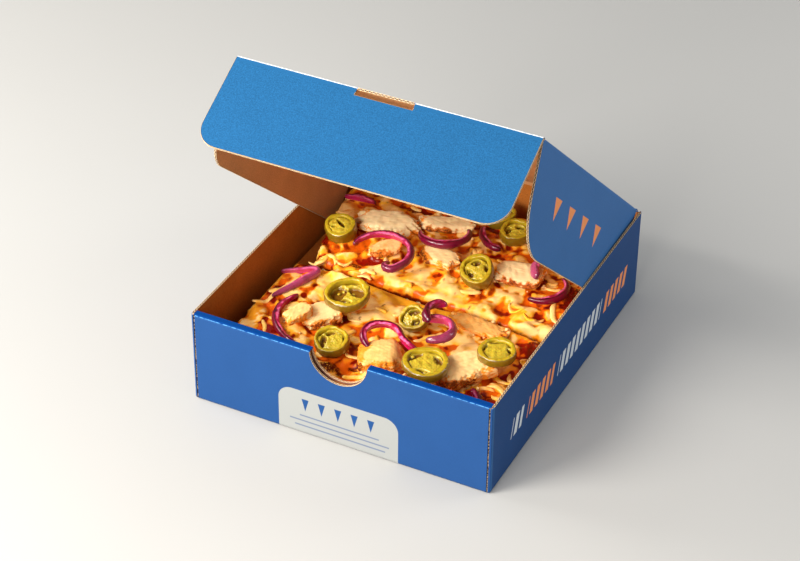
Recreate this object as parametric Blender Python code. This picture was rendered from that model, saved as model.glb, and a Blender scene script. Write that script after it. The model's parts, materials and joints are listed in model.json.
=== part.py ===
"""A rectangular pizza in its open card box.

The box is one folded blank of thin fluted board: a tray with a rolled front wall and a thumb
notch, a lid on the back wall's crease, and a tuck flap on the lid's front crease. A folded card
riser lifts the pizza, which is cut once across into a front and a back piece.

+X runs along the front wall, +Y from the front to the back, +Z up. The origin is the centre of
the tray's underside. Sizes are in metres, angles in degrees.
"""
import math

import bmesh
import bpy
import numpy as np
from mathutils import Matrix, Vector
from mathutils.bvhtree import BVHTree

# Box
BOX_WIDTH = 0.236
BOX_DEPTH = 0.269
BOX_HEIGHT = 0.0752
BOARD = 0.0015
GAP = 0.0003
ROLLED_WALL = 0.006
FOLD_RADIUS = 0.0018
NOTCH_RADIUS = 0.0227
NOTCH_CENTRE_HEIGHT = 0.0764
SLIT_DEPTH = 0.0011
SLIT_WIDTH = 0.0012

# Lid
LID_OPEN = 41.5
LID_LENGTH = 0.2613
LID_HALF_WIDTH = 0.1147
SIDE_FLAP_DEPTH = 0.0735
SIDE_FLAP_LEAN = 1.1
SIDE_FLAP_REAR = 0.004
TUCK_FLAP_ANGLE = 109.8
TUCK_FLAP_DEPTH = 0.0710
TUCK_FLAP_CORNER = 0.0165
SLOT_WIDTH = 0.0435
SLOT_DEPTH = 0.0055
SLOT_TONGUE = 0.0010

# Riser under the pizza
RISER_TOP = 0.0290
RISER_HALF_WIDTH = 0.1134
RISER_FRONT = -0.1270
RISER_BACK = 0.1315

# Pizza: each piece is (front edge, back edge, top of the dough, mean top of the cheese)
CUT_SLOPE = -0.045
CUT_PLACE = -0.0085
CUT_GAP = 0.0016
PIZZA_FRONT = -0.1240
PIZZA_BACK = 0.1230
PIZZA_RIGHT = 0.1105
FRONT_PIECE_LEFT = -0.1060
BACK_PIECE_LEFT = (-0.0930, -0.1120)
DOUGH_FLOOR = RISER_TOP + GAP
FRONT_DOUGH_TOP = 0.0385
BACK_DOUGH_TOP = 0.0405
FRONT_CHEESE_TOP = 0.0462
BACK_CHEESE_TOP = 0.0492
CHEESE_OVERHANG = 0.0012
REST_GAP = 0.0006

# Chicken chunks: name, place, length, width, height, turn, lean to the front, seed
CHICKEN = (
    ("back_left", (-0.0585, 0.0585), 0.039, 0.021, 0.0080, 18, 3, 1),
    ("back_middle", (-0.0190, 0.0800), 0.038, 0.017, 0.0060, 24, 0, 2),
    ("under_arc", (-0.0450, 0.0285), 0.021, 0.012, 0.0060, 35, 8, 3),
    ("torn", (-0.0035, 0.0370), 0.028, 0.016, 0.0080, -4, 10, 4),
    ("back_right", (0.0595, 0.0425), 0.034, 0.022, 0.0100, 10, 6, 5),
    ("front_left", (-0.0505, -0.0650), 0.024, 0.018, 0.0085, 50, 4, 6),
    ("front_left_small", (-0.0620, -0.0780), 0.018, 0.012, 0.0070, 60, 4, 7),
    ("front_middle", (0.0120, -0.0920), 0.032, 0.025, 0.0135, 20, 6, 8),
    ("front_right", (0.0700, -0.0800), 0.036, 0.026, 0.0130, 52, 6, 9),
    ("flat_right", (0.0565, -0.0235), 0.042, 0.017, 0.0045, -4, 2, 10),
)

# Chilli rings: name, place, radius, thickness, lean to the front, turn
CHILLI_RINGS = (
    ("back_left", (-0.0865, 0.0335), 0.0122, 0.0100, 14, 20),
    ("back_middle", (0.0325, 0.0240), 0.0130, 0.0100, 26, 75),
    ("back_right", (0.0340, 0.0905), 0.0122, 0.0085, 8, 40),
    ("back_corner", (0.014, 0.106), 0.0120, 0.0080, 5, 110),
    ("centre_left", (-0.0390, -0.0460), 0.0162, 0.0075, 8, 15),
    ("centre", (0.0135, -0.0430), 0.0102, 0.0080, 36, 60),
    ("notch", (-0.0275, -0.0925), 0.0126, 0.0080, 14, 95),
    ("front_middle", (0.0495, -0.0985), 0.0170, 0.0065, 0, 150),
    ("front_right", (0.0885, -0.0640), 0.0142, 0.0062, 0, 5),
)

# Onion strands: name, start, heading, half height, then runs of (length, turn)
ONION_STRANDS = (
    ("back_arc", (-0.0665, 0.0170), 82, 0.0026, ((0.0860, -207), (0.0190, -200))),
    ("back_bowl", (-0.0285, 0.0540), 282, 0.0026, ((0.0700, 214),)),
    ("back_hook", (0.0070, 0.0905), 272, 0.0026, ((0.0360, 90),)),
    ("right_bowl", (0.0755, 0.0215), -10, 0.0026, ((0.0520, 160),)),
    ("left_arc", (-0.0800, -0.0480), 242, 0.0026, ((0.0680, 108),)),
    ("left_tip", (-0.1040, -0.0265), 30, 0.0026, ((0.0230, 5), (0.0090, -140), (0.0420, -15))),
    ("curl_left", (0.0025, -0.0935), 165, 0.0028, ((0.0500, -215), (0.0240, 45))),
    ("curl_right", (0.0355, -0.0665), -5, 0.0032, ((0.0450, 200), (0.0120, 20))),
    ("curl_dark", (0.0305, -0.0530), 150, 0.0030, ((0.0180, -60), (0.0160, -110))),
    ("back_left", (-0.1080, 0.0815), 10, 0.0024, ((0.0260, -10),)),
    ("petal", (0.0690, 0.0545), 250, 0.0036, ((0.0220, 75),)),
    ("front_bit", (0.0930, -0.1010), 100, 0.0030, ((0.0150, 75),)),
)
STRAND_HALF_WIDTH = 0.0015
STRAND_STEP = 0.0045


def clear_scene():
    """Remove every object that the start-up scene holds."""
    for item in list(bpy.data.objects):
        bpy.data.objects.remove(item, do_unlink=True)


def new_collection(name):
    """A collection under the scene's own."""
    group = bpy.data.collections.new(name)
    bpy.context.scene.collection.children.link(group)
    return group


def new_material(name, color, roughness):
    """A plain Principled material."""
    material = bpy.data.materials.new(name)
    material.use_nodes = True
    shader = material.node_tree.nodes["Principled BSDF"]
    shader.inputs["Base Color"].default_value = (*color, 1)
    shader.inputs["Roughness"].default_value = roughness
    shader.inputs["Metallic"].default_value = 0
    return material


def add_part(group, name, mesh, material, parent=None):
    """Link a mesh as a named part, with one material, under a parent empty if there is one."""
    part = bpy.data.objects.new(name, mesh)
    group.objects.link(part)
    mesh.materials.clear()
    mesh.materials.append(material)
    part.parent = parent
    return part


def add_cutter(group, mesh):
    """Link a mesh as a hidden cutter."""
    cutter = bpy.data.objects.new("cutter", mesh)
    group.objects.link(cutter)
    cutter.hide_render = True
    cutter.display_type = "WIRE"
    return cutter


def combine(part, operation, tool):
    """Cut or join a part with a tool object by an exact Boolean."""
    step = part.modifiers.new(operation.lower(), "BOOLEAN")
    step.operation = operation
    step.object = tool
    step.solver = "EXACT"


def to_mesh(bm, name):
    """Write a bmesh to a new mesh with its faces pointing out."""
    bmesh.ops.recalc_face_normals(bm, faces=bm.faces)
    mesh = bpy.data.meshes.new(name)
    bm.to_mesh(mesh)
    bm.free()
    return mesh


def box_mesh(name, low, high):
    """A box between two corners."""
    bm = bmesh.new()
    bmesh.ops.create_cube(bm, size=1)
    low, high = Vector(low), Vector(high)
    size = high - low
    bmesh.ops.scale(bm, vec=size, verts=bm.verts)
    bmesh.ops.translate(bm, vec=low + size / 2, verts=bm.verts)
    return to_mesh(bm, name)


def arc(centre, radius, start, end, steps):
    """Points along an arc, from the start angle to the end angle."""
    angles = np.radians(np.linspace(start, end, steps + 1))
    return [(centre[0] + radius * math.cos(a), centre[1] + radius * math.sin(a)) for a in angles]


def rounded(corners, radii, steps=4):
    """A closed outline whose corners are arcs of the given radii; radius 0 keeps a corner sharp."""
    points = []
    for index, radius in enumerate(radii):
        corner = Vector(corners[index])
        before = (Vector(corners[index - 1]) - corner).normalized()
        after = (Vector(corners[(index + 1) % len(corners)]) - corner).normalized()
        if radius == 0:
            points.append(tuple(corner))
            continue
        half = before.angle(after) / 2
        centre = corner + (before + after).normalized() * radius / math.sin(half)
        first, last = (corner + leg * radius / math.tan(half) - centre for leg in (before, after))
        start = math.degrees(math.atan2(first.y, first.x))
        sweep = math.degrees(math.atan2(first.x * last.y - first.y * last.x, first.dot(last)))
        points += arc(centre, radius, start, start + sweep, steps)
    return points


def outline_mesh(name, loops, thickness):
    """A plate from closed outlines in the XY plane; loops inside the first one are holes."""
    curve = bpy.data.curves.new(name, "CURVE")
    curve.dimensions = "2D"
    curve.fill_mode = "BOTH"
    curve.extrude = thickness / 2
    for points in loops:
        spline = curve.splines.new("POLY")
        spline.points.add(len(points) - 1)
        spline.use_cyclic_u = True
        for point, place in zip(spline.points, points):
            point.co = (*place, 0, 1)
    return curve_to_mesh(curve, name)


def curve_to_mesh(curve, name):
    """The closed mesh of a curve, with its caps welded on."""
    guide = bpy.data.objects.new(name, curve)
    bpy.context.scene.collection.objects.link(guide)
    bpy.context.view_layer.update()
    graph = bpy.context.evaluated_depsgraph_get()
    mesh = bpy.data.meshes.new_from_object(guide.evaluated_get(graph))
    bpy.data.objects.remove(guide)
    bm = bmesh.new()
    bm.from_mesh(mesh)
    bmesh.ops.remove_doubles(bm, verts=bm.verts, dist=1e-6)
    bmesh.ops.triangulate(bm, faces=bm.faces)
    bpy.data.meshes.remove(mesh)
    return to_mesh(bm, name)


# ---- the box ----

def bevel_edges(bm, chosen, radius, segments):
    """Round the edges that a test picks by their two end points."""
    edges = [edge for edge in bm.edges if chosen(edge.verts[0].co, edge.verts[1].co)]
    bmesh.ops.bevel(bm, geom=edges, offset=radius, segments=segments, profile=0.5, affect="EDGES")


def tray_body_mesh():
    """The tray's outer block with its folds rounded: upright corners, floor and rolled top edge."""
    half_x, half_y = BOX_WIDTH / 2, BOX_DEPTH / 2
    bm = bmesh.new()
    bm.from_mesh(box_mesh("tray", (-half_x, -half_y, 0), (half_x, half_y, BOX_HEIGHT)))

    def upright_or_floor(a, b):
        upright = abs(a.z - b.z) > BOX_HEIGHT / 2
        floor = max(a.z, b.z) < 1e-6
        rolled = min(a.z, b.z) > BOX_HEIGHT - 1e-6 and max(a.y, b.y) < 0
        return upright or floor or rolled

    bevel_edges(bm, upright_or_floor, FOLD_RADIUS, 2)
    return to_mesh(bm, "tray")


def notch_mesh():
    """A cylinder across the front wall, which leaves the thumb notch."""
    bm = bmesh.new()
    turn = Matrix.Rotation(math.radians(90), 4, "X")
    place = Matrix.Translation((0, -BOX_DEPTH / 2, NOTCH_CENTRE_HEIGHT))
    bmesh.ops.create_cone(bm, cap_ends=True, segments=40, radius1=NOTCH_RADIUS,
                          radius2=NOTCH_RADIUS, depth=4 * ROLLED_WALL, matrix=place @ turn)
    return to_mesh(bm, "notch")


def make_tray(group, cutters, board):
    """Tray: one folded card, with a hollow rolled front wall, a notch and a low back edge."""
    half_x, half_y = BOX_WIDTH / 2, BOX_DEPTH / 2
    above = BOX_HEIGHT + 0.02
    inner_x = half_x - BOARD
    wall_back = -half_y + ROLLED_WALL
    hinge_top = BOX_HEIGHT - BOARD / 2 - GAP
    slit = half_x - FOLD_RADIUS
    tray = add_part(group, "tray", tray_body_mesh(), board)
    cuts = [
        box_mesh("inside", (-inner_x, wall_back, BOARD), (inner_x, half_y - BOARD, above)),
        box_mesh("rolled_gap", (-inner_x, -half_y + BOARD, 2 * BOARD),
                 (inner_x, wall_back - BOARD, BOX_HEIGHT - BOARD)),
        box_mesh("back_edge", (-inner_x, half_y - 2 * BOARD, hinge_top), (inner_x, 2 * half_y, above)),
        notch_mesh(),
    ]
    for side in (-1, 1):
        near, far = sorted((side * slit, side * (slit - SLIT_WIDTH)))
        cuts.append(box_mesh("corner_slit", (near, -half_y - above, -above),
                             (far, -half_y + SLIT_DEPTH, above)))
    for mesh in cuts:
        combine(tray, "DIFFERENCE", add_cutter(cutters, mesh))
    return tray


def make_riser(group, kraft):
    """Riser: a card folded down along both sides, which stands in the tray under the pizza."""
    outer, inner = RISER_HALF_WIDTH, RISER_HALF_WIDTH - BOARD
    top, under, foot = RISER_TOP, RISER_TOP - BOARD, BOARD + GAP
    section = [(-outer, foot), (-inner, foot), (-inner, under), (inner, under),
               (inner, foot), (outer, foot), (outer, top), (-outer, top)]
    mesh = outline_mesh("riser", [section], RISER_BACK - RISER_FRONT)
    turn = Matrix.Rotation(math.radians(90), 4, "X")
    mesh.transform(Matrix.Translation((0, (RISER_BACK + RISER_FRONT) / 2, 0)) @ turn)
    return add_part(group, "riser", mesh, kraft)


def lid_section():
    """The lid across its width: the panel with a flap folded down, leaning out, at each side."""
    lean = math.tan(math.radians(SIDE_FLAP_LEAN))
    top, deep = BOARD / 2, -SIDE_FLAP_DEPTH - BOARD
    outer, inner = LID_HALF_WIDTH, LID_HALF_WIDTH - BOARD
    spread = -deep * lean
    corners = [(-outer - spread, deep), (-inner - spread, deep), (-inner, -top), (inner, -top),
               (inner + spread, deep), (outer + spread, deep), (outer, top), (-outer, top)]
    return rounded(corners, (0, 0, 0, 0, 0, 0, FOLD_RADIUS, FOLD_RADIUS), 3)


def flap_trim_mesh(side, slant, corner):
    """A cutter that leaves one side flap's outline, with y along the lid and z down the flap.

    The flap's front edge slants back by slant, and its lower front corner is an arc.
    """
    root, deep, far = -BOARD / 2 - GAP, -SIDE_FLAP_DEPTH, 0.02
    front, rear = -LID_LENGTH + BOARD, -SIDE_FLAP_REAR
    corners = [(front - far, root), (front, root), (front + slant, deep), (3 * rear, deep),
               (rear, root), (far, root), (far, 2 * deep), (front - far, 2 * deep)]
    mesh = outline_mesh("trim", [rounded(corners, (0, 0, corner, 2 * SIDE_FLAP_REAR, 0, 0, 0, 0), 6)],
                        far)
    across = Matrix(((0, 0, 1, 0), (1, 0, 0, 0), (0, 1, 0, 0), (0, 0, 0, 1)))
    middle = LID_HALF_WIDTH - 2 * BOARD + far / 2
    mesh.transform(Matrix.Translation((side * middle, 0, 0)) @ across)
    return mesh


def make_lid(group, cutters, board, hinge):
    """Lid: the top panel with its two side flaps, turning about the back wall's crease."""
    tip = -LID_LENGTH - SLOT_TONGUE
    crease = -LID_LENGTH + BOARD / 2 + GAP
    mesh = outline_mesh("lid", [lid_section()], -tip)
    turn = Matrix.Rotation(math.radians(90), 4, "X")
    mesh.transform(Matrix.Translation((0, tip / 2, 0)) @ turn)
    lid = add_part(group, "lid", mesh, board, hinge)
    wide = 2 * LID_HALF_WIDTH
    cuts = [flap_trim_mesh(-1, 0.010, 0.019), flap_trim_mesh(1, 0.022, 0.048)]
    for low, high in ((-wide, -SLOT_WIDTH / 2), (SLOT_WIDTH / 2, wide)):
        cuts.append(box_mesh("crease", (low, 2 * tip, -wide), (high, crease, wide)))
    for mesh in cuts:
        cutter = add_cutter(cutters, mesh)
        cutter.parent = hinge
        combine(lid, "DIFFERENCE", cutter)
    return lid


def make_tuck_flap(group, board, fold):
    """Tuck flap: the lid's front panel, with round lower corners and a slot at the fold."""
    half, slot, depth = LID_HALF_WIDTH + GAP, SLOT_WIDTH / 2 + GAP, TUCK_FLAP_DEPTH
    corners = [(-half, 0), (-half, -depth), (half, -depth), (half, 0), (slot, 0),
               (slot, -SLOT_DEPTH), (-slot, -SLOT_DEPTH), (-slot, 0)]
    radii = (0, TUCK_FLAP_CORNER, TUCK_FLAP_CORNER, 0, 0, 0, 0, 0)
    mesh = outline_mesh("tuck_flap", [rounded(corners, radii, 6)], BOARD)
    return add_part(group, "tuck_flap", mesh, board, fold)


def make_axes(group):
    """Empties on the two creases: the lid's, and the tuck flap's on the lid."""
    hinge = bpy.data.objects.new("lid_axis", None)
    hinge.location = (0, BOX_DEPTH / 2 - BOARD / 2, BOX_HEIGHT)
    hinge.rotation_euler.x = -math.radians(LID_OPEN)
    fold = bpy.data.objects.new("tuck_flap_axis", None)
    fold.location = (0, -LID_LENGTH, 0)
    fold.rotation_euler.x = math.radians(180 - TUCK_FLAP_ANGLE)
    fold.parent = hinge
    for empty in (hinge, fold):
        group.objects.link(empty)
    return hinge, fold


# ---- the pizza ----

def cut_line(x, side):
    """Where one side of the cut runs: side 1 is the back piece's edge, -1 the front piece's."""
    return CUT_PLACE + CUT_SLOPE * x + side * CUT_GAP / 2


def piece_edges(name):
    """Functions for a piece's left, right, front and back edges."""
    if name == "front":
        return (lambda y: FRONT_PIECE_LEFT, lambda y: PIZZA_RIGHT,
                lambda x: PIZZA_FRONT, lambda x: cut_line(x, -1))
    near, far = BACK_PIECE_LEFT
    return (lambda y: near + (far - near) * min(max(y / 0.090, 0), 1), lambda y: PIZZA_RIGHT,
            lambda x: cut_line(x, 1), lambda x: PIZZA_BACK)


def ripple(x, y, phase):
    """A smooth uneven number between about -1 and 1 for a place on the pizza."""
    wave = math.sin(210 * x + 3 * math.sin(95 * y + phase) + phase)
    cross = math.sin(260 * y + 2 * math.sin(120 * x - phase) - 2 * phase)
    return 0.5 * wave + 0.5 * cross


def slab_mesh(name, floor, top, cells, inset, lump):
    """One layer of a pizza piece, as a gridded block bent to the piece's edges.

    Square places (s, t) run from -1 to 1. They are pulled in near the corners, spread between the
    piece's edges, and lowered at the rim; the top rises and falls by lump.
    """
    left, right, front, back = piece_edges(name)
    bm = bmesh.new()
    bmesh.ops.create_cube(bm, size=2)
    for axis, count in enumerate(cells):
        along = [edge for edge in bm.edges
                 if abs(edge.verts[0].co[axis] - edge.verts[1].co[axis]) > 1]
        bmesh.ops.subdivide_edges(bm, edges=along, cuts=count - 1, use_grid_fill=True)
    for vert in bm.verts:
        s, t, upper = vert.co.x, vert.co.y, vert.co.z > 0
        s, t = s * (1 - 0.035 * t ** 8), t * (1 - 0.05 * s ** 8)
        rough_x, rough_y = 0.11 * s, 0.06 * t + (0.06 if name == "back" else -0.06)
        y0, y1 = front(rough_x) + inset, back(rough_x) - inset
        y = (y0 + y1) / 2 + t * (y1 - y0) / 2
        x0, x1 = left(y) + inset, right(y) - inset
        x = (x0 + x1) / 2 + s * (x1 - x0) / 2
        rim = max(abs(vert.co.x), abs(vert.co.y))
        uneven = ripple(x, y, 1.3)
        x -= 0.0011 * (1 + ripple(y, x, 0.4)) * vert.co.x * (rim > 0.99)
        height = top + lump * uneven - 0.9 * lump * (rim > 0.99)
        vert.co = (x, y, height if upper else floor)
    bmesh.ops.triangulate(bm, faces=bm.faces)
    return to_mesh(bm, name)


def make_pizza(group, dough, cheese):
    """Both pieces, each a bread base under a layer of sauce and melted cheese."""
    layers = []
    levels = (("front", FRONT_DOUGH_TOP, FRONT_CHEESE_TOP), ("back", BACK_DOUGH_TOP, BACK_CHEESE_TOP))
    for name, dough_top, cheese_top in levels:
        base = slab_mesh(name, DOUGH_FLOOR, dough_top, (10, 6, 1), CHEESE_OVERHANG, 0)
        layers.append(add_part(group, name + "_dough", base, dough))
        top = slab_mesh(name, dough_top + GAP, cheese_top, (22, 14, 1), 0, 0.0014)
        layers.append(add_part(group, name + "_cheese", top, cheese))
    return layers


def chunk_mesh(name, length, width, height, seed):
    """A torn chunk of meat: a block with soft uneven edges and a flat underside.

    Each corner place p of a gridded cube moves to p / |p| measured with sixth powers, which rounds
    the block, and then in or out by a few sine waves whose phases come from the seed.
    """
    draw = np.random.default_rng(seed)
    phases = draw.uniform(0, 2 * math.pi, 4)
    taper = draw.uniform(-0.15, 0.15)
    bm = bmesh.new()
    bmesh.ops.create_cube(bm, size=2)
    bmesh.ops.subdivide_edges(bm, edges=bm.edges, cuts=3, use_grid_fill=True)
    for vert in bm.verts:
        p = vert.co / sum(abs(c) ** 6 for c in vert.co) ** (1 / 6)
        wave = math.sin(4 * p.x + phases[0]) * math.sin(3.5 * p.y + phases[1])
        swell = 1 + 0.09 * wave + 0.05 * math.sin(6 * p.y + 3 * p.x + phases[2])
        x = p.x * swell * length / 2
        y = p.y * swell * (1 + taper * p.x) * width / 2
        z = max(p.z, -0.8) * (1 + 0.12 * math.sin(5 * p.x + phases[3])) * height / 2
        vert.co = (x, y, z)
    bmesh.ops.triangulate(bm, faces=bm.faces)
    return to_mesh(bm, name)


def chilli_mesh(name, radius, thickness, phase):
    """A chilli slice: an uneven ring of flesh with two seed chambers either side of a rib.

    The outline is r = R (1 + 4% cos 2a + 3% cos 3a); each chamber is half of a smaller circle,
    flattened along the rib.
    """
    flesh, rib = 0.27 * radius, 0.20 * radius
    skin = []
    for a in np.linspace(0, 2 * math.pi, 18, endpoint=False):
        reach = radius * (1 + 0.04 * math.cos(2 * a + phase) + 0.03 * math.cos(3 * a - phase))
        skin.append((reach * math.cos(a), reach * math.sin(a)))
    loops = [skin]
    for start in (0, 180):
        half = arc((0, 0), radius - flesh, start + 18, start + 162, 6)
        chamber = [(x, y * 0.92 + math.copysign(rib * 0.2, y)) for x, y in half]
        loops.append(chamber[::-1])
    return outline_mesh(name, loops, thickness)


def strand_path(heading, runs):
    """Points of a chain of arcs, each run having a length and the angle it turns through."""
    place, heading = Vector((0, 0, 0)), math.radians(heading)
    path = [place.copy()]
    for length, turn in runs:
        steps = max(2, round(length / STRAND_STEP))
        bend = math.radians(turn) / steps
        for _ in range(steps):
            heading += bend / 2
            place = place + Vector((math.cos(heading), math.sin(heading), 0)) * length / steps
            heading += bend / 2
            path.append(place)
    return path


def strand_mesh(name, heading, half_height, runs):
    """An onion strand: a six-sided strip along its path, thinner at both tips."""
    path = strand_path(heading, runs)
    curve = bpy.data.curves.new(name, "CURVE")
    curve.dimensions = "3D"
    curve.twist_mode = "Z_UP"
    curve.use_fill_caps = True
    spline = curve.splines.new("POLY")
    spline.points.add(len(path) - 1)
    last = len(path) - 1
    for index, (point, place) in enumerate(zip(spline.points, path)):
        point.co = (*place, 1)
        point.radius = 0.62 + 0.38 * abs(math.sin(math.pi * index / last)) ** 0.5
    section = bpy.data.curves.new("section", "CURVE")
    section.dimensions = "2D"
    ring = section.splines.new("POLY")
    ring.points.add(5)
    ring.use_cyclic_u = True
    for point, (x, y) in zip(ring.points, arc((0, 0), 1, 0, 300, 5)):
        point.co = (x * STRAND_HALF_WIDTH, y * half_height, 0, 1)
    guide = bpy.data.objects.new("section", section)
    bpy.context.scene.collection.objects.link(guide)
    curve.bevel_mode = "OBJECT"
    curve.bevel_object = guide
    mesh = curve_to_mesh(curve, name)
    bpy.data.objects.remove(guide)
    return mesh


class Pile:
    """The pieces laid so far, and the way a new piece comes to rest on them."""

    def __init__(self, layers):
        self.placed = [self.world(layer) for layer in layers]

    @staticmethod
    def world(part):
        """A part's corners in world places, and its faces."""
        bpy.context.view_layer.update()
        corners = [part.matrix_world @ vert.co for vert in part.data.vertices]
        return corners, [tuple(face.vertices) for face in part.data.polygons]

    @staticmethod
    def samples(corners, faces):
        """Corners, face centres and edge middles, where the clearance is measured."""
        spots = list(corners)
        for face in faces:
            ring = [corners[index] for index in face]
            spots.append(sum(ring, Vector()) / len(ring))
            spots += [(a + b) / 2 for a, b in zip(ring, ring[1:] + ring[:1])]
        return spots

    def drop(self, part):
        """Lower a part from above until REST_GAP is left under it."""
        corners, faces = self.world(part)
        tree = BVHTree.FromPolygons(corners, faces)
        xs = [corner.x for corner in corners]
        ys = [corner.y for corner in corners]
        clear = []
        for other, other_faces in self.placed:
            below = BVHTree.FromPolygons(other, other_faces)
            for spot in self.samples(corners, faces):
                clear.append(below.ray_cast(spot, Vector((0, 0, -1)))[3])
            for spot in self.samples(other, other_faces):
                if min(xs) <= spot.x <= max(xs) and min(ys) <= spot.y <= max(ys):
                    clear.append(tree.ray_cast(spot, Vector((0, 0, 1)))[3])
        fall = min(distance for distance in clear if distance is not None) - REST_GAP
        part.location.z -= fall
        self.placed.append(self.world(part))


def place_topping(group, pile, name, mesh, material, spot, lean, turn):
    """Hold a topping above its spot, leant to the front and turned, and let it down."""
    part = add_part(group, name, mesh, material)
    tilt = Matrix.Rotation(math.radians(lean), 4, "X")
    spin = Matrix.Rotation(math.radians(turn), 4, "Z")
    part.rotation_euler = (tilt @ spin).to_euler()
    part.location = (*spot, 2 * BOX_HEIGHT)
    pile.drop(part)


def make_toppings(group, pile, chicken, chilli, onion):
    """Chicken first, then the chilli rings, then the onion strands over them."""
    for name, spot, length, width, height, turn, lean, seed in CHICKEN:
        mesh = chunk_mesh(name, length, width, height, seed)
        place_topping(group, pile, "chicken_" + name, mesh, chicken, spot, lean, turn)
    for name, spot, radius, thickness, lean, turn in CHILLI_RINGS:
        mesh = chilli_mesh(name, radius, thickness, math.radians(turn))
        place_topping(group, pile, "chilli_" + name, mesh, chilli, spot, lean, turn)
    for name, start, heading, half_height, runs in ONION_STRANDS:
        mesh = strand_mesh(name, heading, half_height, runs)
        place_topping(group, pile, "onion_" + name, mesh, onion, start, 0, 0)


def main():
    clear_scene()
    group = new_collection("pizza_in_box")
    cutters = new_collection("cutters")
    board = new_material("blue_board", (0.05, 0.17, 0.48), 0.55)
    kraft = new_material("kraft_board", (0.30, 0.12, 0.04), 0.75)
    dough = new_material("dough", (0.72, 0.47, 0.20), 0.7)
    cheese = new_material("cheese", (0.85, 0.52, 0.16), 0.4)
    chicken = new_material("chicken", (0.86, 0.66, 0.33), 0.55)
    chilli = new_material("chilli", (0.30, 0.29, 0.02), 0.3)
    onion = new_material("onion", (0.42, 0.03, 0.16), 0.3)

    hinge, fold = make_axes(group)
    make_tray(group, cutters, board)
    make_riser(group, kraft)
    make_lid(group, cutters, board, hinge)
    make_tuck_flap(group, board, fold)
    layers = make_pizza(group, dough, cheese)
    make_toppings(group, Pile(layers), chicken, chilli, onion)


main()
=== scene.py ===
"""The looks of a rectangular pizza in its open card box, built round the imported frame.

The box's card pieces stay as they come and get printed and bare board finishes, with raw fluted
edges and folded creases added. Bread, cheese, chicken, chilli and onion replace their plain solids.
Sizes are in metres, angles in degrees; +X runs along the front wall, +Y to the back, +Z up.
"""
import json
import math

import bpy
import numpy as np
from mathutils import Matrix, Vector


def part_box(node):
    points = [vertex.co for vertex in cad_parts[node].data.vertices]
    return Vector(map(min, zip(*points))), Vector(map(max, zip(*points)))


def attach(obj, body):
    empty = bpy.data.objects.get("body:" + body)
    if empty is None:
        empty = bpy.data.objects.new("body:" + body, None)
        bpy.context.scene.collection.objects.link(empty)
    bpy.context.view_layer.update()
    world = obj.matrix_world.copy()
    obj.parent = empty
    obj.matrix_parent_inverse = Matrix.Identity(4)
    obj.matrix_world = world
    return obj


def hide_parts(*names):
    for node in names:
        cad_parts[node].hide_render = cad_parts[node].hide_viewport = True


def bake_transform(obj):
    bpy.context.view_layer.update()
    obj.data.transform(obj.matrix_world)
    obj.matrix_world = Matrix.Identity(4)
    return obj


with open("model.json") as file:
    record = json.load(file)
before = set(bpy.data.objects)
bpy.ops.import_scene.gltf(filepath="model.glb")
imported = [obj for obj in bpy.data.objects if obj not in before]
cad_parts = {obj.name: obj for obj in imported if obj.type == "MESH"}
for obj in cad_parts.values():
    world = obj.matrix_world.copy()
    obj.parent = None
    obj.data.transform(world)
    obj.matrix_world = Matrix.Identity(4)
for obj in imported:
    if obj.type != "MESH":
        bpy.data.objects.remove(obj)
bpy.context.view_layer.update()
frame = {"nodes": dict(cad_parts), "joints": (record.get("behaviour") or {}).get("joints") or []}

bl_info = {
    "name": "Pizza in its box",
    "version": (1, 0, 0),
    "blender": (4, 5, 0),
    "location": "View3D > Sidebar > Pizza box",
    "description": "Printed fluted board, melted cheese and toppings for a pizza in its open box",
    "category": "Object",
}

MM = 0.001

# The box, as its card pieces have it
HALF_WIDTH, HALF_DEPTH, WALL_TOP = 0.118, 0.1345, 0.0752
BOARD = 0.0015
ROLLED_WALL = 0.006
FOLD_RADIUS = 0.0018
NOTCH_RADIUS, NOTCH_CENTRE_HEIGHT = 0.0227, 0.0764
LID_OPEN, LID_LENGTH, LID_HALF_WIDTH = 41.5, 0.2613, 0.1147
SIDE_FLAP_DEPTH, SIDE_FLAP_LEAN, SIDE_FLAP_REAR = 0.0735, 1.1, 0.004
TUCK_FLAP_ANGLE, TUCK_FLAP_DEPTH, TUCK_FLAP_CORNER = 109.8, 0.0710, 0.0165
SLOT_WIDTH, SLOT_DEPTH, SLOT_TONGUE = 0.0435, 0.0055, 0.0010
HINGE, FOLD = (np.array(joint["pos_m"], float) for joint in frame["joints"])
FLAP_TILT = 180 - TUCK_FLAP_ANGLE - LID_OPEN

# The pizza, as its solids have it
CUT_SLOPE, CUT_PLACE, CUT_GAP = -0.045, -0.0085, 0.0016
BACK_PIECE_LEFT, LEFT_EDGE_REACH = (-0.0930, -0.1120), 0.090
PIZZA_HALF_WIDTH = 0.11
CHEESE_LEVEL = {"front": 0.0462, "back": 0.0492}
DOUGH_TOP = {"front": 0.0385, "back": 0.0405}


def tone(red, green, blue):
    """A colour from its everyday 0 to 255 values, as the linear numbers that shaders use."""
    shares = np.array([red, green, blue]) / 255
    linear = np.where(shares <= 0.04045, shares / 12.92, ((shares + 0.055) / 1.055) ** 2.4)
    return tuple(float(value) for value in linear)


def tinted(shade, amount):
    """A colour made darker or lighter."""
    return tuple(min(value * amount, 1) for value in shade)


def blended(first, second, amount):
    """A colour some of the way from one to another."""
    return tuple(a + (b - a) * amount for a, b in zip(first, second))


# ---- settings that a user may change ----

def length(name, description, value):
    """A size property in metres."""
    return bpy.props.FloatProperty(name=name, description=description, default=value,
                                   subtype="DISTANCE", unit="LENGTH", precision=5)


def angle(name, description, degrees):
    """An angle property, given in degrees."""
    return bpy.props.FloatProperty(name=name, description=description,
                                   default=math.radians(degrees), subtype="ANGLE", unit="ROTATION")


def power(name, description, value):
    """A light's power, in watts."""
    return bpy.props.FloatProperty(name=name, description=description, default=value, unit="POWER")


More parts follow.
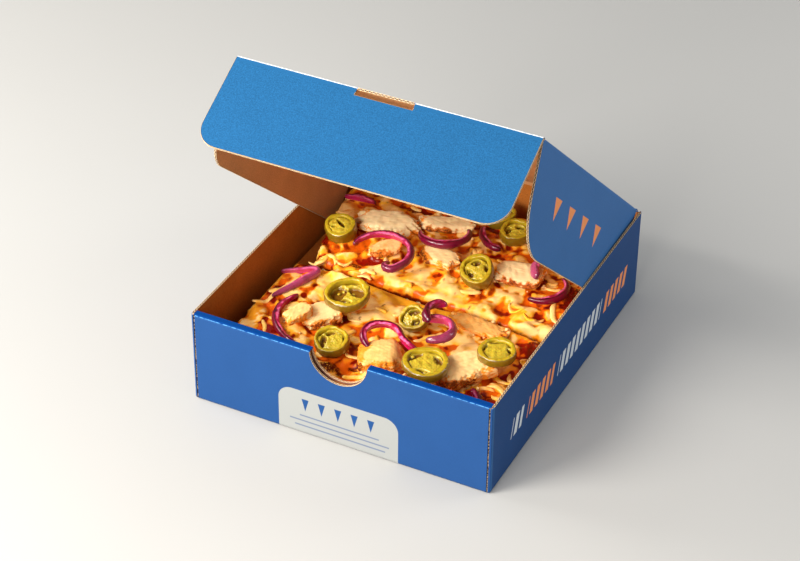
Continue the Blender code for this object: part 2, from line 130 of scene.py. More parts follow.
def color(name, description, value):
    """A colour property, from everyday 0 to 255 values."""
    return bpy.props.FloatVectorProperty(name=name, description=description, default=tone(*value),
                                         subtype="COLOR", size=3, min=0, max=1)


class BoardSettings(bpy.types.PropertyGroup):
    """The card of the box."""

    wall_ink: color("Wall ink", "Blue print on the tray", (34, 70, 120))
    # The lid's print is the tuck flap's blue made lighter: painted light on the lid's side flaps.
    lightened_lid_ink: color("Lid ink", "Blue print on the lid", (58, 106, 162))
    flap_ink: color("Flap ink", "Blue print on the tuck flap", (31, 86, 130))
    # A darker blue on the rolled top of the front wall.
    rolled_top_blue: color("Fold ink", "Print on the rolled top of the front wall", (2, 56, 122))
    # Pale blue along the folds: partly cracked print, partly a painted highlight on the bend.
    crack_and_highlight: color("Crack", "Board that shows where the print breaks at a fold", (84, 146, 198))
    # The panel and the bars are one white print; the bars, on the shaded side wall, are painted
    # lighter than the lit panel: painted light.
    panel: color("Panel", "Pale panel of the print", (146, 148, 146))
    bar: color("Bar", "White bars of the print", (206, 212, 214))
    # Painted highlight: the white line along the tuck flap's fold.
    glint: color("Glint", "Bare paper along the tuck flap's fold", (236, 238, 236))
    accent: color("Accent", "Orange shapes of the print", (236, 148, 92))
    # The tray's kraft is the lid's bare kraft made darker and redder: painted shade for the tray's
    # shaded inside.
    kraft: color("Kraft", "Bare brown inside of the tray", (170, 102, 42))
    lid_kraft: color("Lid kraft", "Bare inside of the lid and tuck flap", (192, 140, 94))
    edge: color("Cut edge", "Freshly cut edge of the board", (224, 196, 154))
    flute_pitch: length("Flute pitch", "From one flute to the next", 3.2 * MM)
    edge_relief: length("Edge relief", "How far liners and flutes stand out", 0.35 * MM)


class CheeseSettings(bpy.types.PropertyGroup):
    """Bread, sauce and melted cheese."""

    cell: length("Surface cell", "Spacing of the cheese surface's points", 0.62 * MM)
    blob_spacing: length("Blob spacing", "Mean spacing of the melted blobs", 9.2 * MM)
    blob_height: length("Blob height", "How far a melted blob stands over the sauce", 3.2 * MM)
    cream: color("Cream", "Thickest melted cheese", (255, 209, 132))
    lemon: color("Lemon", "Yellower cheese among the cream", (250, 186, 44))
    golden: color("Golden", "Thin melted cheese", (240, 156, 30))
    oil: color("Oil", "Orange oil between the blobs", (212, 90, 8))
    sauce: color("Sauce", "Red sauce", (126, 12, 2))
    # Browned spots, and also painted shade along the cut and round the toppings.
    toast: color("Toast", "Browned spots", (92, 22, 2))
    crumb: color("Crumb", "Inside of the bread", (232, 196, 132))
    crust: color("Crust", "Baked outside of the bread", (196, 128, 56))


class ToppingSettings(bpy.types.PropertyGroup):
    """Chicken, chilli, onion and herbs."""

    meat: color("Meat", "Torn chicken meat", (234, 182, 104))
    # Lighter meat for the pieces that lie in shade: painted light.
    shade_lightened_meat: color("Pale meat", "Chicken meat that stayed pale", (246, 224, 172))
    roast: color("Roast", "Golden outside of the chicken", (234, 140, 34))
    browned: color("Browned skin", "Well roasted skin of the chicken", (176, 84, 28))
    char: color("Char", "Dark spots on the chicken's skin", (96, 40, 14))
    chilli_skin: color("Chilli skin", "Outside of a chilli ring", (122, 94, 12))
    chilli_flesh: color("Chilli flesh", "Cut face of a chilli ring", (176, 150, 28))
    chilli_core: color("Chilli core", "Pith and seeds", (190, 166, 46))
    chilli_hollow: color("Chilli hollow", "Shaded bottom of a ring's chambers", (112, 66, 8))
    onion_skin: color("Onion skin", "Outside of an onion strand", (150, 0, 58))
    onion_flesh: color("Onion flesh", "Cut faces of an onion strand", (236, 112, 164))
    onion_tip: color("Onion tip", "Shrunken ends and rims of a strand", (64, 0, 28))
    herb: color("Herb", "Dried herb flakes", (96, 66, 20))
    herb_count: bpy.props.IntProperty(name="Herb flakes", description="Flakes on the whole pizza",
                                      default=45, min=0, max=4000)


class StageSettings(bpy.types.PropertyGroup):
    """Floor, lights and camera."""

    floor: color("Floor", "Plain pale floor", (176, 175, 172))
    lens: bpy.props.FloatProperty(name="Lens", description="Focal length on a 36 mm sensor",
                                  default=104.68, unit="CAMERA")
    distance: length("Camera distance", "From the box's middle to the camera", 1.747)
    aside: length("Camera aside", "How far the camera is moved to its right", -0.0168)
    raised: length("Camera raised", "How far the camera is moved up its own axis", 0.047)
    azimuth: angle("Azimuth", "Camera's way round the box", 26.324)
    elevation: angle("Elevation", "Camera's angle over the floor", 35.5189)
    roll: angle("Roll", "Camera's turn about its own axis", 0.5634)
    key_power: power("Key light", "Power of the main light", 42.0)
    front_power: power("Front light", "Power of the low light in front", 21.0)
    fill_power: power("Fill light", "Power of the light from the left", 14.0)
    back_power: power("Back light", "Power of the light behind the right side", 4.0)
    sky: bpy.props.FloatProperty(name="Sky", description="Strength of the light from all round",
                                 default=0.46, min=0)


# ---- finishes: node trees written as expressions ----

class Wire:
    """One output socket. Python's operators on it add Math nodes, colours go through mix."""

    def __init__(self, finish, socket):
        self.finish = finish
        self.socket = socket

    def math(self, operation, *values):
        """A Math node on this wire and other wires or numbers."""
        return self.finish.math(operation, self, *values)

    def __add__(self, other):
        return self.math("ADD", other)

    def __radd__(self, other):
        return self.finish.math("ADD", other, self)

    def __sub__(self, other):
        return self.math("SUBTRACT", other)

    def __rsub__(self, other):
        return self.finish.math("SUBTRACT", other, self)

    def __mul__(self, other):
        return self.math("MULTIPLY", other)

    def __rmul__(self, other):
        return self.finish.math("MULTIPLY", other, self)

    def __truediv__(self, other):
        return self.math("DIVIDE", other)

    def __pow__(self, other):
        return self.math("POWER", other)

    def __abs__(self):
        return self.math("ABSOLUTE")

    def above(self, edge, blur):
        """A smooth step from 0 to 1 where this wire passes an edge."""
        return self.finish.node("ShaderNodeMapRange", {"interpolation_type": "SMOOTHSTEP"},
                                {0: self, 1: edge - blur / 2, 2: edge + blur / 2, 3: 0, 4: 1})

    def below(self, edge, blur):
        """A smooth step from 1 to 0 where this wire passes an edge."""
        return 1 - self.above(edge, blur)

    def inside(self, low, high, blur):
        """1 between two edges and 0 outside them."""
        return self.above(low, blur) * self.below(high, blur)

    def least(self, other):
        return self.math("MINIMUM", other)

    def most(self, other):
        return self.math("MAXIMUM", other)

    def mix(self, low, high):
        """The colour low where this wire is 0 and high where it is 1."""
        return self.finish.node("ShaderNodeMix", {"data_type": "RGBA", "clamp_factor": True},
                                {0: self, 6: low, 7: high}, 2)

    def tones(self, shade, low, high):
        """One colour, darker where this wire is 0 and lighter where it is 1."""
        return self.mix(tinted(shade, low), tinted(shade, high))

    def part(self, index):
        """One of a vector's three numbers."""
        return self.finish.node("ShaderNodeSeparateXYZ", {}, {0: self}, index)


class Finish:
    """One material: its node tree, and short ways to add to it."""

    def __init__(self, name, **shader):
        self.material = bpy.data.materials.new(name)
        self.material.use_nodes = True
        self.tree = self.material.node_tree
        self.tree.nodes.clear()
        out = self.tree.nodes.new("ShaderNodeOutputMaterial")
        self.shader = self.tree.nodes.new("ShaderNodeBsdfPrincipled")
        self.tree.links.new(self.shader.outputs[0], out.inputs[0])
        self.set(self.shader, shader)
        self.object_place = self.node("ShaderNodeTexCoord", {}, {}, "Object")

    def set(self, node, inputs):
        """Give a node's sockets their values or links."""
        for key, value in inputs.items():
            name = key.replace("_", " ") if isinstance(key, str) else key
            socket = node.inputs[name]
            if isinstance(value, Wire):
                self.tree.links.new(value.socket, socket)
            elif socket.type == "RGBA":
                socket.default_value = (*value, 1)
            else:
                socket.default_value = value

    def node(self, kind, settings, inputs, output=0):
        """Add a node: its type, its settings first, then its sockets. Returns one output."""
        node = self.tree.nodes.new(kind)
        for name, value in settings.items():
            setattr(node, name, value)
        self.set(node, inputs)
        return Wire(self, node.outputs[output])

    def math(self, operation, *values):
        return self.node("ShaderNodeMath", {"operation": operation}, dict(enumerate(values)))

    def noise(self, size, detail=2.0, place=None, roughness=0.55):
        """Smooth noise from 0 to 1 with features of about one size, in metres."""
        return self.node("ShaderNodeTexNoise", {},
                         {"Vector": place or self.object_place, "Scale": 1 / size,
                          "Detail": detail, "Roughness": roughness})

    def specks(self, size, amount):
        """Small spots: 1 inside and 0 outside, on a share of the cells of one size."""
        cells = {"feature": "F1", "distance": "EUCLIDEAN"}
        place = {"Vector": self.object_place, "Scale": 1 / size}
        near = self.node("ShaderNodeTexVoronoi", cells, place, "Distance")
        pick = self.node("ShaderNodeTexVoronoi", cells, place, "Color").part(0)
        return near.below(0.30, 0.2) * pick.below(amount, 0.02)

    def field(self, name):
        """A number that the piece's mesh holds at each point."""
        return self.node("ShaderNodeAttribute", {"attribute_name": name}, {}, "Fac")

    def turned(self, place, angle):
        """Object places measured from a point, in axes turned about X."""
        return self.node("ShaderNodeMapping", {"vector_type": "TEXTURE"},
                         {"Vector": self.object_place, "Location": place,
                          "Rotation": (math.radians(angle), 0, 0)})

    def bump(self, height, distance, strength=1.0):
        """A relief that is too fine for the mesh, fed to the shader's normal."""
        relief = self.node("ShaderNodeBump", {}, {"Height": height, "Distance": distance,
                                                  "Strength": strength})
        self.set(self.shader, {"Normal": relief})

    def paint(self, **inputs):
        """Feed the shader's sockets and return the material."""
        self.set(self.shader, inputs)
        return self.material


# ---- meshes from whole arrays ----

def grid_quads(rows, columns, round_rows=False, round_columns=False):
    """Quads between a grid's neighbours; a round direction joins its last line to its first."""
    r = np.arange(rows if round_rows else rows - 1)[:, None]
    c = np.arange(columns if round_columns else columns - 1)[None, :]
    r, c = np.broadcast_arrays(r, c)
    after_r, after_c = (r + 1) % rows, (c + 1) % columns
    corners = [r * columns + c, r * columns + after_c, after_r * columns + after_c,
               after_r * columns + c]
    return np.stack(corners, -1).reshape(-1, 4)


def closed_faces(rows, columns):
    """Faces of rings closed round, with one point at each end: first point, rings, last point."""
    quads = grid_quads(rows, columns, round_columns=True) + 1
    ring = np.arange(columns)
    turned = np.roll(ring, -1)
    last = rows * columns + 1
    tail = (rows - 1) * columns + 1
    start = np.stack([np.zeros_like(ring), turned + 1, ring + 1], -1)
    end = np.stack([np.full_like(ring, last), tail + ring, tail + turned], -1)
    return [quads, np.concatenate([start, end])]


def strip(rings, **fields):
    """A closed strip from rings of points and fields, with a middle point added at both ends."""
    rows, columns, _ = rings.shape
    points = np.concatenate([rings[:1].mean(1), rings.reshape(-1, 3), rings[-1:].mean(1)])
    fields = {name: np.pad(np.broadcast_to(values, (rows, columns)).ravel(), 1)
              for name, values in fields.items()}
    return points, closed_faces(rows, columns), fields


def joined(shapes):
    """The points, faces and fields of several shapes as those of one."""
    starts = np.cumsum([0] + [len(points) for points, _, _ in shapes])
    faces = zip(*([part + start for part in faces] for (_, faces, _), start in zip(shapes, starts)))
    fields = {name: np.concatenate([shape[2][name] for shape in shapes]) for name in shapes[0][2]}
    return (np.concatenate([points for points, _, _ in shapes]),
            [np.concatenate(group) for group in faces], fields)


def repeated(faces, count, points):
    """The faces of many copies of a shape that each have the same number of points."""
    shift = (np.arange(count) * points)[:, None, None]
    return [(part[None] + shift).reshape(-1, part.shape[1]) for part in faces]


def make_piece(name, points, faces, material, fields=None, nodes=(), body="tray", flat=False):
    """A named piece from whole arrays, which rides on a body and stands for some CAD nodes."""
    faces = [faces] if isinstance(faces, np.ndarray) else faces
    points = np.asarray(points, np.float32).reshape(-1, 3)
    sizes = np.concatenate([np.full(len(part), part.shape[1]) for part in faces])
    mesh = bpy.data.meshes.new(name)
    mesh.vertices.add(len(points))
    mesh.vertices.foreach_set("co", points.ravel())
    mesh.loops.add(int(sizes.sum()))
    mesh.loops.foreach_set("vertex_index", np.concatenate([part.ravel() for part in faces]))
    mesh.polygons.add(len(sizes))
    mesh.polygons.foreach_set("loop_start", np.concatenate([[0], np.cumsum(sizes)[:-1]]))
    mesh.polygons.foreach_set("use_smooth", np.full(len(sizes), not flat))
    for key, values in (fields or {}).items():
        layer = mesh.attributes.new(key, "FLOAT", "POINT")
        layer.data.foreach_set("value", np.asarray(values, np.float32).ravel())
    mesh.update(calc_edges=True)
    mesh.validate()
    mesh.materials.append(material)
    piece = bpy.data.objects.new(name, mesh)
    bpy.context.scene.collection.objects.link(piece)
    if body:
        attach(piece, body)
    if nodes:
        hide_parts(*nodes)
    return piece


def circle(count):
    """Even angles once round."""
    return np.linspace(0, 2 * math.pi, count, endpoint=False)


def rounded_square(angles, power):
    """Places round a square with soft corners: cos and sin to a power below 1, with their signs."""
    return [np.sign(f) * np.abs(f) ** power for f in (np.cos(angles), np.sin(angles))]


def waves(places, size, seed, count=12):
    """Smooth uneven numbers, mostly -1 to 1: plane waves of about one size in drawn directions."""
    draw = np.random.default_rng(seed)
    ways = draw.normal(size=(count, places.shape[-1]))
    ways /= np.linalg.norm(ways, axis=1, keepdims=True)
    ways *= (2 * math.pi / (size * draw.uniform(0.7, 1.5, count)))[:, None]
    phases = draw.uniform(0, 2 * math.pi, count)
    return np.sin(places @ ways.T + phases).sum(-1) / math.sqrt(count)


def smooth(values, low, high):
    """A smooth step: 0 below low, 1 above high, 3u2 - 2u3 between them."""
    u = np.clip((values - low) / (high - low), 0, 1)
    return u * u * (3 - 2 * u)


def spun(x, y, turn):
    """Places in a plane turned about its origin, by an angle in radians."""
    c, s = np.cos(turn), np.sin(turn)
    return x * c - y * s, x * s + y * c


def turn_x(degrees):
    """The matrix of a turn about X."""
    c, s = math.cos(math.radians(degrees)), math.sin(math.radians(degrees))
    return np.array([[1, 0, 0], [0, c, -s], [0, s, c]])


# ---- the box: print, bare board, cut edges and folds ----

def rounded(corners, radii, steps=6):
    """Points of an open outline whose corners are arcs of the given radii; 0 keeps one sharp."""
    points = []
    for index, radius in enumerate(radii):
        corner = np.array(corners[index], float)
        if radius == 0:
            points.append(corner)
            continue
        before, after = (np.array(corners[index + step]) - corner for step in (-1, 1))
        before, after = before / np.linalg.norm(before), after / np.linalg.norm(after)
        half = math.acos(before @ after) / 2
        middle = before + after
        centre = corner + middle / np.linalg.norm(middle) * radius / math.sin(half)
        first = corner + before * radius / math.tan(half) - centre
        sweep = np.linspace(0, math.pi - 2 * half, steps + 1)
        side = math.copysign(1, before[1] * after[0] - before[0] * after[1])
        points += [centre + np.array([first[0] * math.cos(a) - side * first[1] * math.sin(a),
                                      side * first[0] * math.sin(a) + first[1] * math.cos(a)])
                   for a in sweep]
    return np.array(points)


def spaced(points, step):
    """Points at an even spacing along a line of points."""
    points = np.asarray(points, float)
    run = np.concatenate([[0], np.cumsum(np.linalg.norm(np.diff(points, axis=0), axis=1))])
    count = max(2, int(round(run[-1] / step)) + 1)
    marks = np.linspace(0, run[-1], count)
    return np.stack([np.interp(marks, run, points[:, axis]) for axis in range(3)], -1), marks


def cut_edge(run, board):
    """A raw edge of the board along a line, with the board's normal given.

    With s along the line and t from -1 to 1 through the board, a point is
    C(s) + t N board / 2 + (T x N) relief max(liner(t), flute(s, t)). A liner is a ridge near
    |t| = 0.87 and the flute a ridge along t = 0.6 sin(2 pi s / pitch). Two more corners, sunk into
    the board, close the section.
    """
    line, normal = run
    line, marks = spaced(line, 0.4 * MM)
    tangent = np.gradient(line, axis=0)
    tangent /= np.linalg.norm(tangent, axis=1, keepdims=True)
    normal = np.broadcast_to(np.asarray(normal, float), line.shape)
    outward = np.cross(tangent, normal)
    t = np.linspace(-1, 1, 13)
    liner = np.exp(-(((np.abs(t) - 0.87) / 0.13) ** 2))[None, :]
    centre = 0.6 * np.sin(2 * math.pi * marks / board.flute_pitch)[:, None]
    flute = np.exp(-(((t[None, :] - centre) / 0.2) ** 2))
    height = np.maximum(liner, flute)
    torn = 0.85 + 0.15 * waves(line, 4 * MM, 5)[:, None]
    rise = np.pad(height * torn * board.edge_relief, ((0, 0), (0, 2)), constant_values=-0.1 * MM)
    t = np.append(t, (1, -1))
    places = (line[:, None] + t[None, :, None] * normal[:, None] * (BOARD / 2 + 0.06 * MM)
              + outward[:, None] * rise[..., None])
    return strip(places, ridge=np.pad(height, ((0, 0), (0, 2))))


def add_cut_edges(name, runs, body, material, board):
    """All the raw edges of one card piece, as one mesh."""
    points, faces, fields = joined([cut_edge(run, board) for run in runs])
    faces = [part[:, ::-1] for part in faces]
    return make_piece(name, points, faces, material, fields, body=body)


def tray_edge_runs():
    """The side walls' top edges and both cards' edges round the notch."""
    middle, inset = BOARD / 2, FOLD_RADIUS + 0.4 * MM
    runs = []
    for side in (-1, 1):
        x = side * (HALF_WIDTH - middle)
        ends = [(x, HALF_DEPTH - inset, WALL_TOP), (x, inset - HALF_DEPTH, WALL_TOP)]
        runs.append((ends, (1, 0, 0)))
    dip = math.asin((NOTCH_CENTRE_HEIGHT - WALL_TOP + MM) / NOTCH_RADIUS)
    a = np.linspace(math.pi + dip, 2 * math.pi - dip, 90)
    for y in (middle - HALF_DEPTH, ROLLED_WALL - middle - HALF_DEPTH):
        arc = np.stack([NOTCH_RADIUS * np.cos(a), np.full_like(a, y),
                        NOTCH_CENTRE_HEIGHT + NOTCH_RADIUS * np.sin(a)], -1)
        runs.append((arc, (0, 1, 0)))
    return runs


def lid_edge_runs():
    """The two side flaps' outlines and the tongue at the slot, in the lid's own axes."""
    lean = math.tan(math.radians(SIDE_FLAP_LEAN))
    front, rear, root = BOARD - LID_LENGTH, -SIDE_FLAP_REAR, -BOARD
    runs = []
    for side, slant, corner in ((-1, 0.010, 0.019), (1, 0.022, 0.048)):
        corners = [(front, root), (front + slant, -SIDE_FLAP_DEPTH), (3 * rear, -SIDE_FLAP_DEPTH),
                   (rear, root)]
        outline = rounded(corners, (0, corner, 2 * SIDE_FLAP_REAR, 0))[::side]
        x = side * (LID_HALF_WIDTH - BOARD / 2 - outline[:, 1] * lean)
        line = np.column_stack([x, outline])
        runs.append((line, (side, 0, lean)))
    tip, half = -LID_LENGTH - SLOT_TONGUE, SLOT_WIDTH / 2 - 0.6 * MM
    runs.append(([(-half, tip, 0), (half, tip, 0)], (0, 0, 1)))
    return runs


def flap_edge_runs():
    """The tuck flap's outline and its slot, in the flap's own axes."""
    half, slot = LID_HALF_WIDTH + 0.3 * MM, SLOT_WIDTH / 2 + 0.3 * MM
    outline = rounded([(-half, 0), (-half, -TUCK_FLAP_DEPTH), (half, -TUCK_FLAP_DEPTH), (half, 0)],
                      (0, TUCK_FLAP_CORNER, TUCK_FLAP_CORNER, 0), 10)
    notch = np.array([(slot, 0), (slot, -SLOT_DEPTH), (-slot, -SLOT_DEPTH), (-slot, 0)])
    return [(np.column_stack([line, np.zeros(len(line))]), (0, 0, 1)) for line in (outline, notch)]


def placed(runs, origin, angle):
    """Runs given in turned axes, moved to the row frame."""
    turn = turn_x(angle)
    return [(origin + np.asarray(line, float) @ turn.T, turn @ np.asarray(normal, float))
            for line, normal in runs]


def edge_finish(board):
    """Cut board: pale ridges of paper, with the hollows between them painted dark brown as shade.
    """
    finish = Finish("cut_edge", Roughness=0.85)
    ridge = finish.field("ridge")
    fibre = finish.noise(0.8 * MM)
    # Hollows painted near-black brown: painted shade in the flutes.
    shade = (ridge * 1.4 + fibre * 0.4 - 0.3).mix(tinted(board.kraft, 0.16), board.edge)
    finish.bump(fibre, 0.1 * MM, 0.5)
    return finish.paint(Base_Color=shade)


def frieze_of_bars(along, up, ends, pitch, slant):
    """Slanted bars between two ends of a band of height 16 mm: 1 on a bar, 0 between bars."""
    low, high = 25 * MM, 41 * MM
    place = (along - (up - low) * slant) / pitch
    bar = (abs(place.math("FRACT") - 0.5) * pitch).below(pitch * 0.30, 0.25 * MM)
    within = (along - (up - low) * slant).inside(*ends, 0.3 * MM)
    return bar * up.inside(low, high, 0.25 * MM) * within


def wedges(along, up, ends, count, low, high):
    """A row of wedges that point down, like cut slices: 1 on a wedge."""
    pitch = (ends[1] - ends[0]) / count
    across = abs(((along - ends[0]) / pitch).math("FRACT") - 0.5) * pitch
    reach = (up - low) * (0.22 * pitch / (high - low))
    return ((across - reach).below(0, 0.3 * MM) * up.inside(low, high, 0.3 * MM)
            * along.inside(*ends, 0.3 * MM))


def rounded_panel(along, up, low, high, radius):
    """A rectangle with round corners: 1 inside."""
    reach = []
    for place, start, end in ((along, low[0], high[0]), (up, low[1], high[1])):
        reach.append((abs(place - (start + end) / 2) - ((end - start) / 2 - radius)).most(0))
    return ((reach[0] ** 2 + reach[1] ** 2) ** 0.5).below(radius, 0.3 * MM)


def dashes(finish, along):
    """An uneven broken line along a fold, as the print breaks over each flute, which also breaks up
    the painted highlight there.
    """
    return finish.noise(2.4 * MM, 1, along).above(0.45, 0.3)


def board_finish(name, ink, bare, grainy, make_layers):
    """Card with print on one liner and bare kraft on the other.

    make_layers gives the mask of the printed side and the print's layers, each a mask and a colour.
    """
    board = bpy.context.scene.pizza_board
    finish = Finish(name, Specular_IOR_Level=0.05)
    printed, layers = make_layers(finish, board)
    grain = finish.noise(0.9 * MM, 3, roughness=0.7)
    cloud = finish.noise(28 * MM, 2)
    fleck = finish.specks(1.6 * MM, 0.10)
    worn = (grain * 0.7 + cloud * 0.3 - 0.5) * 3.2 + 0.5
    kraft = worn.tones(bare, 0.76, 1.16)
    kraft = (fleck * 0.35).mix(kraft, tinted(bare, 0.45))
    blue = (cloud * 0.3 + (grain - 0.5) * grainy + 0.35).tones(ink, 0.80, 1.20)
    for mask, shade in layers:
        blue = mask.mix(blue, shade)
    finish.bump(grain * 0.6 + cloud * 1.5, 0.12 * MM, 0.35)
    return finish.paint(Base_Color=printed.mix(kraft, blue), Roughness=0.80 - printed * 0.32)


def tray_layers(finish, board):
    """The tray: print outside, bars along both sides, a panel in front, raw slits darkened by
    painted shade, and the notch's gap painted dark as shade.
    """
    x, y, z = (finish.object_place.part(index) for index in range(3))
    middle, soft = BOARD / 2, 0.1 * MM
    side = abs(x).above(HALF_WIDTH - middle, soft)
    front = y.below(middle - HALF_DEPTH, soft)
    back = y.above(HALF_DEPTH - middle, soft)
    under = z.below(middle, soft)
    rolled = (z.above(WALL_TOP - middle, soft) * y.below(ROLLED_WALL + soft - HALF_DEPTH, soft)
              * abs(x).below(HALF_WIDTH - FOLD_RADIUS, soft))
    face = front.most(back).most(side).most(under)
    crease = z.inside(WALL_TOP - 0.85 * MM, WALL_TOP - 0.3 * MM, 0.3 * MM) * front
    # Pale dashes along the front fold: partly cracked print, partly painted highlight.
    broken = crease * dashes(finish, finish.object_place) * abs(x).below(HALF_WIDTH - 3 * MM, soft)
    # A faint pale strip where the side walls bend round at the front: painted highlight with
    # cracked print.
    bend = side * abs(y + HALF_DEPTH - 2.2 * MM).below(1.0 * MM, 0.9 * MM) * 0.22
    panel = rounded_panel(x, z, (-48 * MM, -30 * MM), (47 * MM, 38 * MM), 11 * MM) * front
    marks = wedges(x, z, (-33 * MM, 32 * MM), 5, 20.5 * MM, 31 * MM)
    lines = sum((z.inside(low * MM, (low + 1.3) * MM, 0.3 * MM) * x.inside(a * MM, b * MM, 0.3 * MM)
                 for low, a, b in ((15.5, -31, 32), (11.0, -39, 40), (6.5, -35, 37))), 0.0)
    pale = panel * (1 - marks) * (1 - lines * 0.55)
    bars = [frieze_of_bars(y, z, ends, 9.0 * MM, 0.30) * side for ends in
            ((-102 * MM, -84 * MM), (-21 * MM, 57 * MM), (-75 * MM, -30 * MM), (63 * MM, 108 * MM))]
    slit = (abs(x).above(HALF_WIDTH - FOLD_RADIUS - 1.5 * MM, soft)
            * y.below(3 * MM - HALF_DEPTH, soft))
    # Raw edges of the corner slits: cream dots of edge among near-black kraft, which is painted
    # shade in the slit.
    raw = finish.noise(1.5 * MM, 1).above(0.5, 0.2).mix(tinted(board.kraft, 0.12),
                                                       tinted(board.edge, 0.7))
    slit = slit * (1 - face)
    # The gap between the notch's two cards, painted near black: painted shade.
    gap = (y.inside(BOARD - HALF_DEPTH, ROLLED_WALL - BOARD - HALF_DEPTH, 0.3 * MM)
           * z.inside(NOTCH_CENTRE_HEIGHT - NOTCH_RADIUS - MM, WALL_TOP - MM, 0.5 * MM)
           * abs(x).below(NOTCH_RADIUS, soft))
    layers = ((slit, raw), (gap, tinted(board.kraft, 0.10)),
              (rolled, board.rolled_top_blue), (pale, board.panel),
              # Bars lighter than the panel: painted light on the shaded side wall.
              (bars[0] + bars[1], board.bar), (bars[2] + bars[3], board.accent),
              (broken.most(bend), board.crack_and_highlight))
    return face.most(rolled).most(slit).most(gap), layers


def lid_layers(finish, board):
    """The lid: print outside, a row of wedges on each side flap."""
    place = finish.turned(HINGE, -LID_OPEN)
    x, along, up = (place.part(index) for index in range(3))
    lean = math.tan(math.radians(SIDE_FLAP_LEAN))
    soft = 0.1 * MM
    side = (abs(x) + up * lean).above(LID_HALF_WIDTH - BOARD / 2, soft)
    slices = wedges(0 - along, up, (70 * MM, 210 * MM), 4, -44 * MM, -28 * MM)
    return up.above(0, soft).most(side), ((slices * side, board.accent),)


def flap_layers(finish, _):
    """The tuck flap: print on its outer side."""
    return finish.turned(FOLD, FLAP_TILT).part(2).above(0, 0.1 * MM), ()


def riser_layers(finish, _):
    """The riser: bare kraft all over."""
    return finish.object_place.part(0) * 0.0, ()


def crease_section(first, second, normals):
    """The section of a bent fold, from one board's normal to the next, as (y, z) about its axis.

    The outer side is two straight legs joined by an arc; the inner side's legs meet in a corner.
    """
    legs, arc = 5, 9
    reach = np.linspace(3.2 * MM, 0, legs + 1)[:-1, None]
    thick = BOARD / 2 + 0.10 * MM
    n1, n2 = normals
    start, end = (math.atan2(n[1], n[0]) for n in normals)
    angles = np.linspace(start, end, arc)
    bend = thick * np.stack([np.cos(angles), np.sin(angles)], -1)
    corner = -thick * (n1 + n2) / (1 + n1 @ n2)
    outer = np.concatenate([n1 * thick + first * reach, bend, (n2 * thick + second * reach)[::-1]])
    inner = np.concatenate([-n2 * thick + second * reach, corner[None],
                            (-n1 * thick + first * reach)[::-1]])
    bent = np.concatenate([np.zeros(legs), np.ones(arc), np.zeros(legs + len(inner))])
    side = np.concatenate([np.ones(len(outer)), np.zeros(len(inner))])
    return np.concatenate([outer, inner]), side, bent


def add_crease(name, axis, first, second, normals, spans, material):
    """A fold of the board along X, not attached to any body. One closed strip for each span."""
    section, side, bent = crease_section(first, second, normals)
    strips = []
    for low, high in spans:
        xs = np.linspace(low, high, 2 + int((high - low) / (12 * MM)))
        rings = np.empty((len(xs), len(section), 3))
        rings[..., 0] = xs[:, None]
        rings[..., 1:] = axis[1:] + section
        strips.append(strip(rings, outer=side, bend=bent))
    points, faces, fields = joined(strips)
    piece = make_piece(name, points, faces, material, fields, body=None, flat=True)
    reach = 1.6 * MM
    starts = [tuple(axis + np.array([0, *leg]) * reach) for leg in (first, second)]
    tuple(starts[0])
    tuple(starts[1])
    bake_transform(piece)
    return piece


def crease_finish(name, ink, line, strength):
    """A fold: print outside with a broken pale line on the bend, a painted highlight with some
    cracked print, kraft inside.
    """
    board = bpy.context.scene.pizza_board
    finish = Finish(name, Roughness=0.48, Specular_IOR_Level=0.05)
    outer = finish.field("outer").above(0.5, 0.3)
    grain = finish.noise(0.9 * MM, 3)
    uneven = dashes(finish, finish.object_place) * 0.4 + 0.6
    # The pale line on the bend: painted highlight with some cracked print.
    broken = finish.field("bend").above(0.7, 0.5) * uneven
    blue = (broken * strength).mix(grain.tones(ink, 0.85, 1.15), line)
    kraft = grain.tones(board.lid_kraft, 0.8, 1.1)
    finish.bump(grain, 0.1 * MM, 0.3)
    return finish.paint(Base_Color=outer.mix(kraft, blue))


class PIZZABOX_OT_board(bpy.types.Operator):
    """Give the tray, riser, lid and tuck flap their print and bare board."""

    bl_idname = "pizzabox.board"
    bl_label = "Printed board"

    def execute(self, context):
        board = context.scene.pizza_board
        looks = {
            "tray": ("tray_board", board.wall_ink, board.kraft, 0.5, tray_layers),
            "lid": ("lid_board", board.lightened_lid_ink, board.lid_kraft, 0.8, lid_layers),
            "tuck_flap": ("flap_board", board.flap_ink, board.lid_kraft, 4.0, flap_layers),
            "riser": ("riser_board", board.wall_ink, board.kraft, 0.5, riser_layers),
        }
        for node, look in looks.items():
            mesh = frame["nodes"][node].data
            mesh.materials.clear()
            mesh.materials.append(board_finish(*look))
        return {"FINISHED"}


class PIZZABOX_OT_edges(bpy.types.Operator):
    """Add the fluted raw edges of the tray, lid and tuck flap."""

    bl_idname = "pizzabox.edges"
    bl_label = "Cut edges"

    def execute(self, context):
        board = context.scene.pizza_board
        material = edge_finish(board)
        for name, body, runs in (("tray", "tray", tray_edge_runs()),
                                 ("lid", "lid", placed(lid_edge_runs(), HINGE, -LID_OPEN)),
                                 ("flap", "tuck_flap", placed(flap_edge_runs(), FOLD, FLAP_TILT))):
            add_cut_edges(name + "_cut_edges", runs, body, material, board)
        return {"FINISHED"}


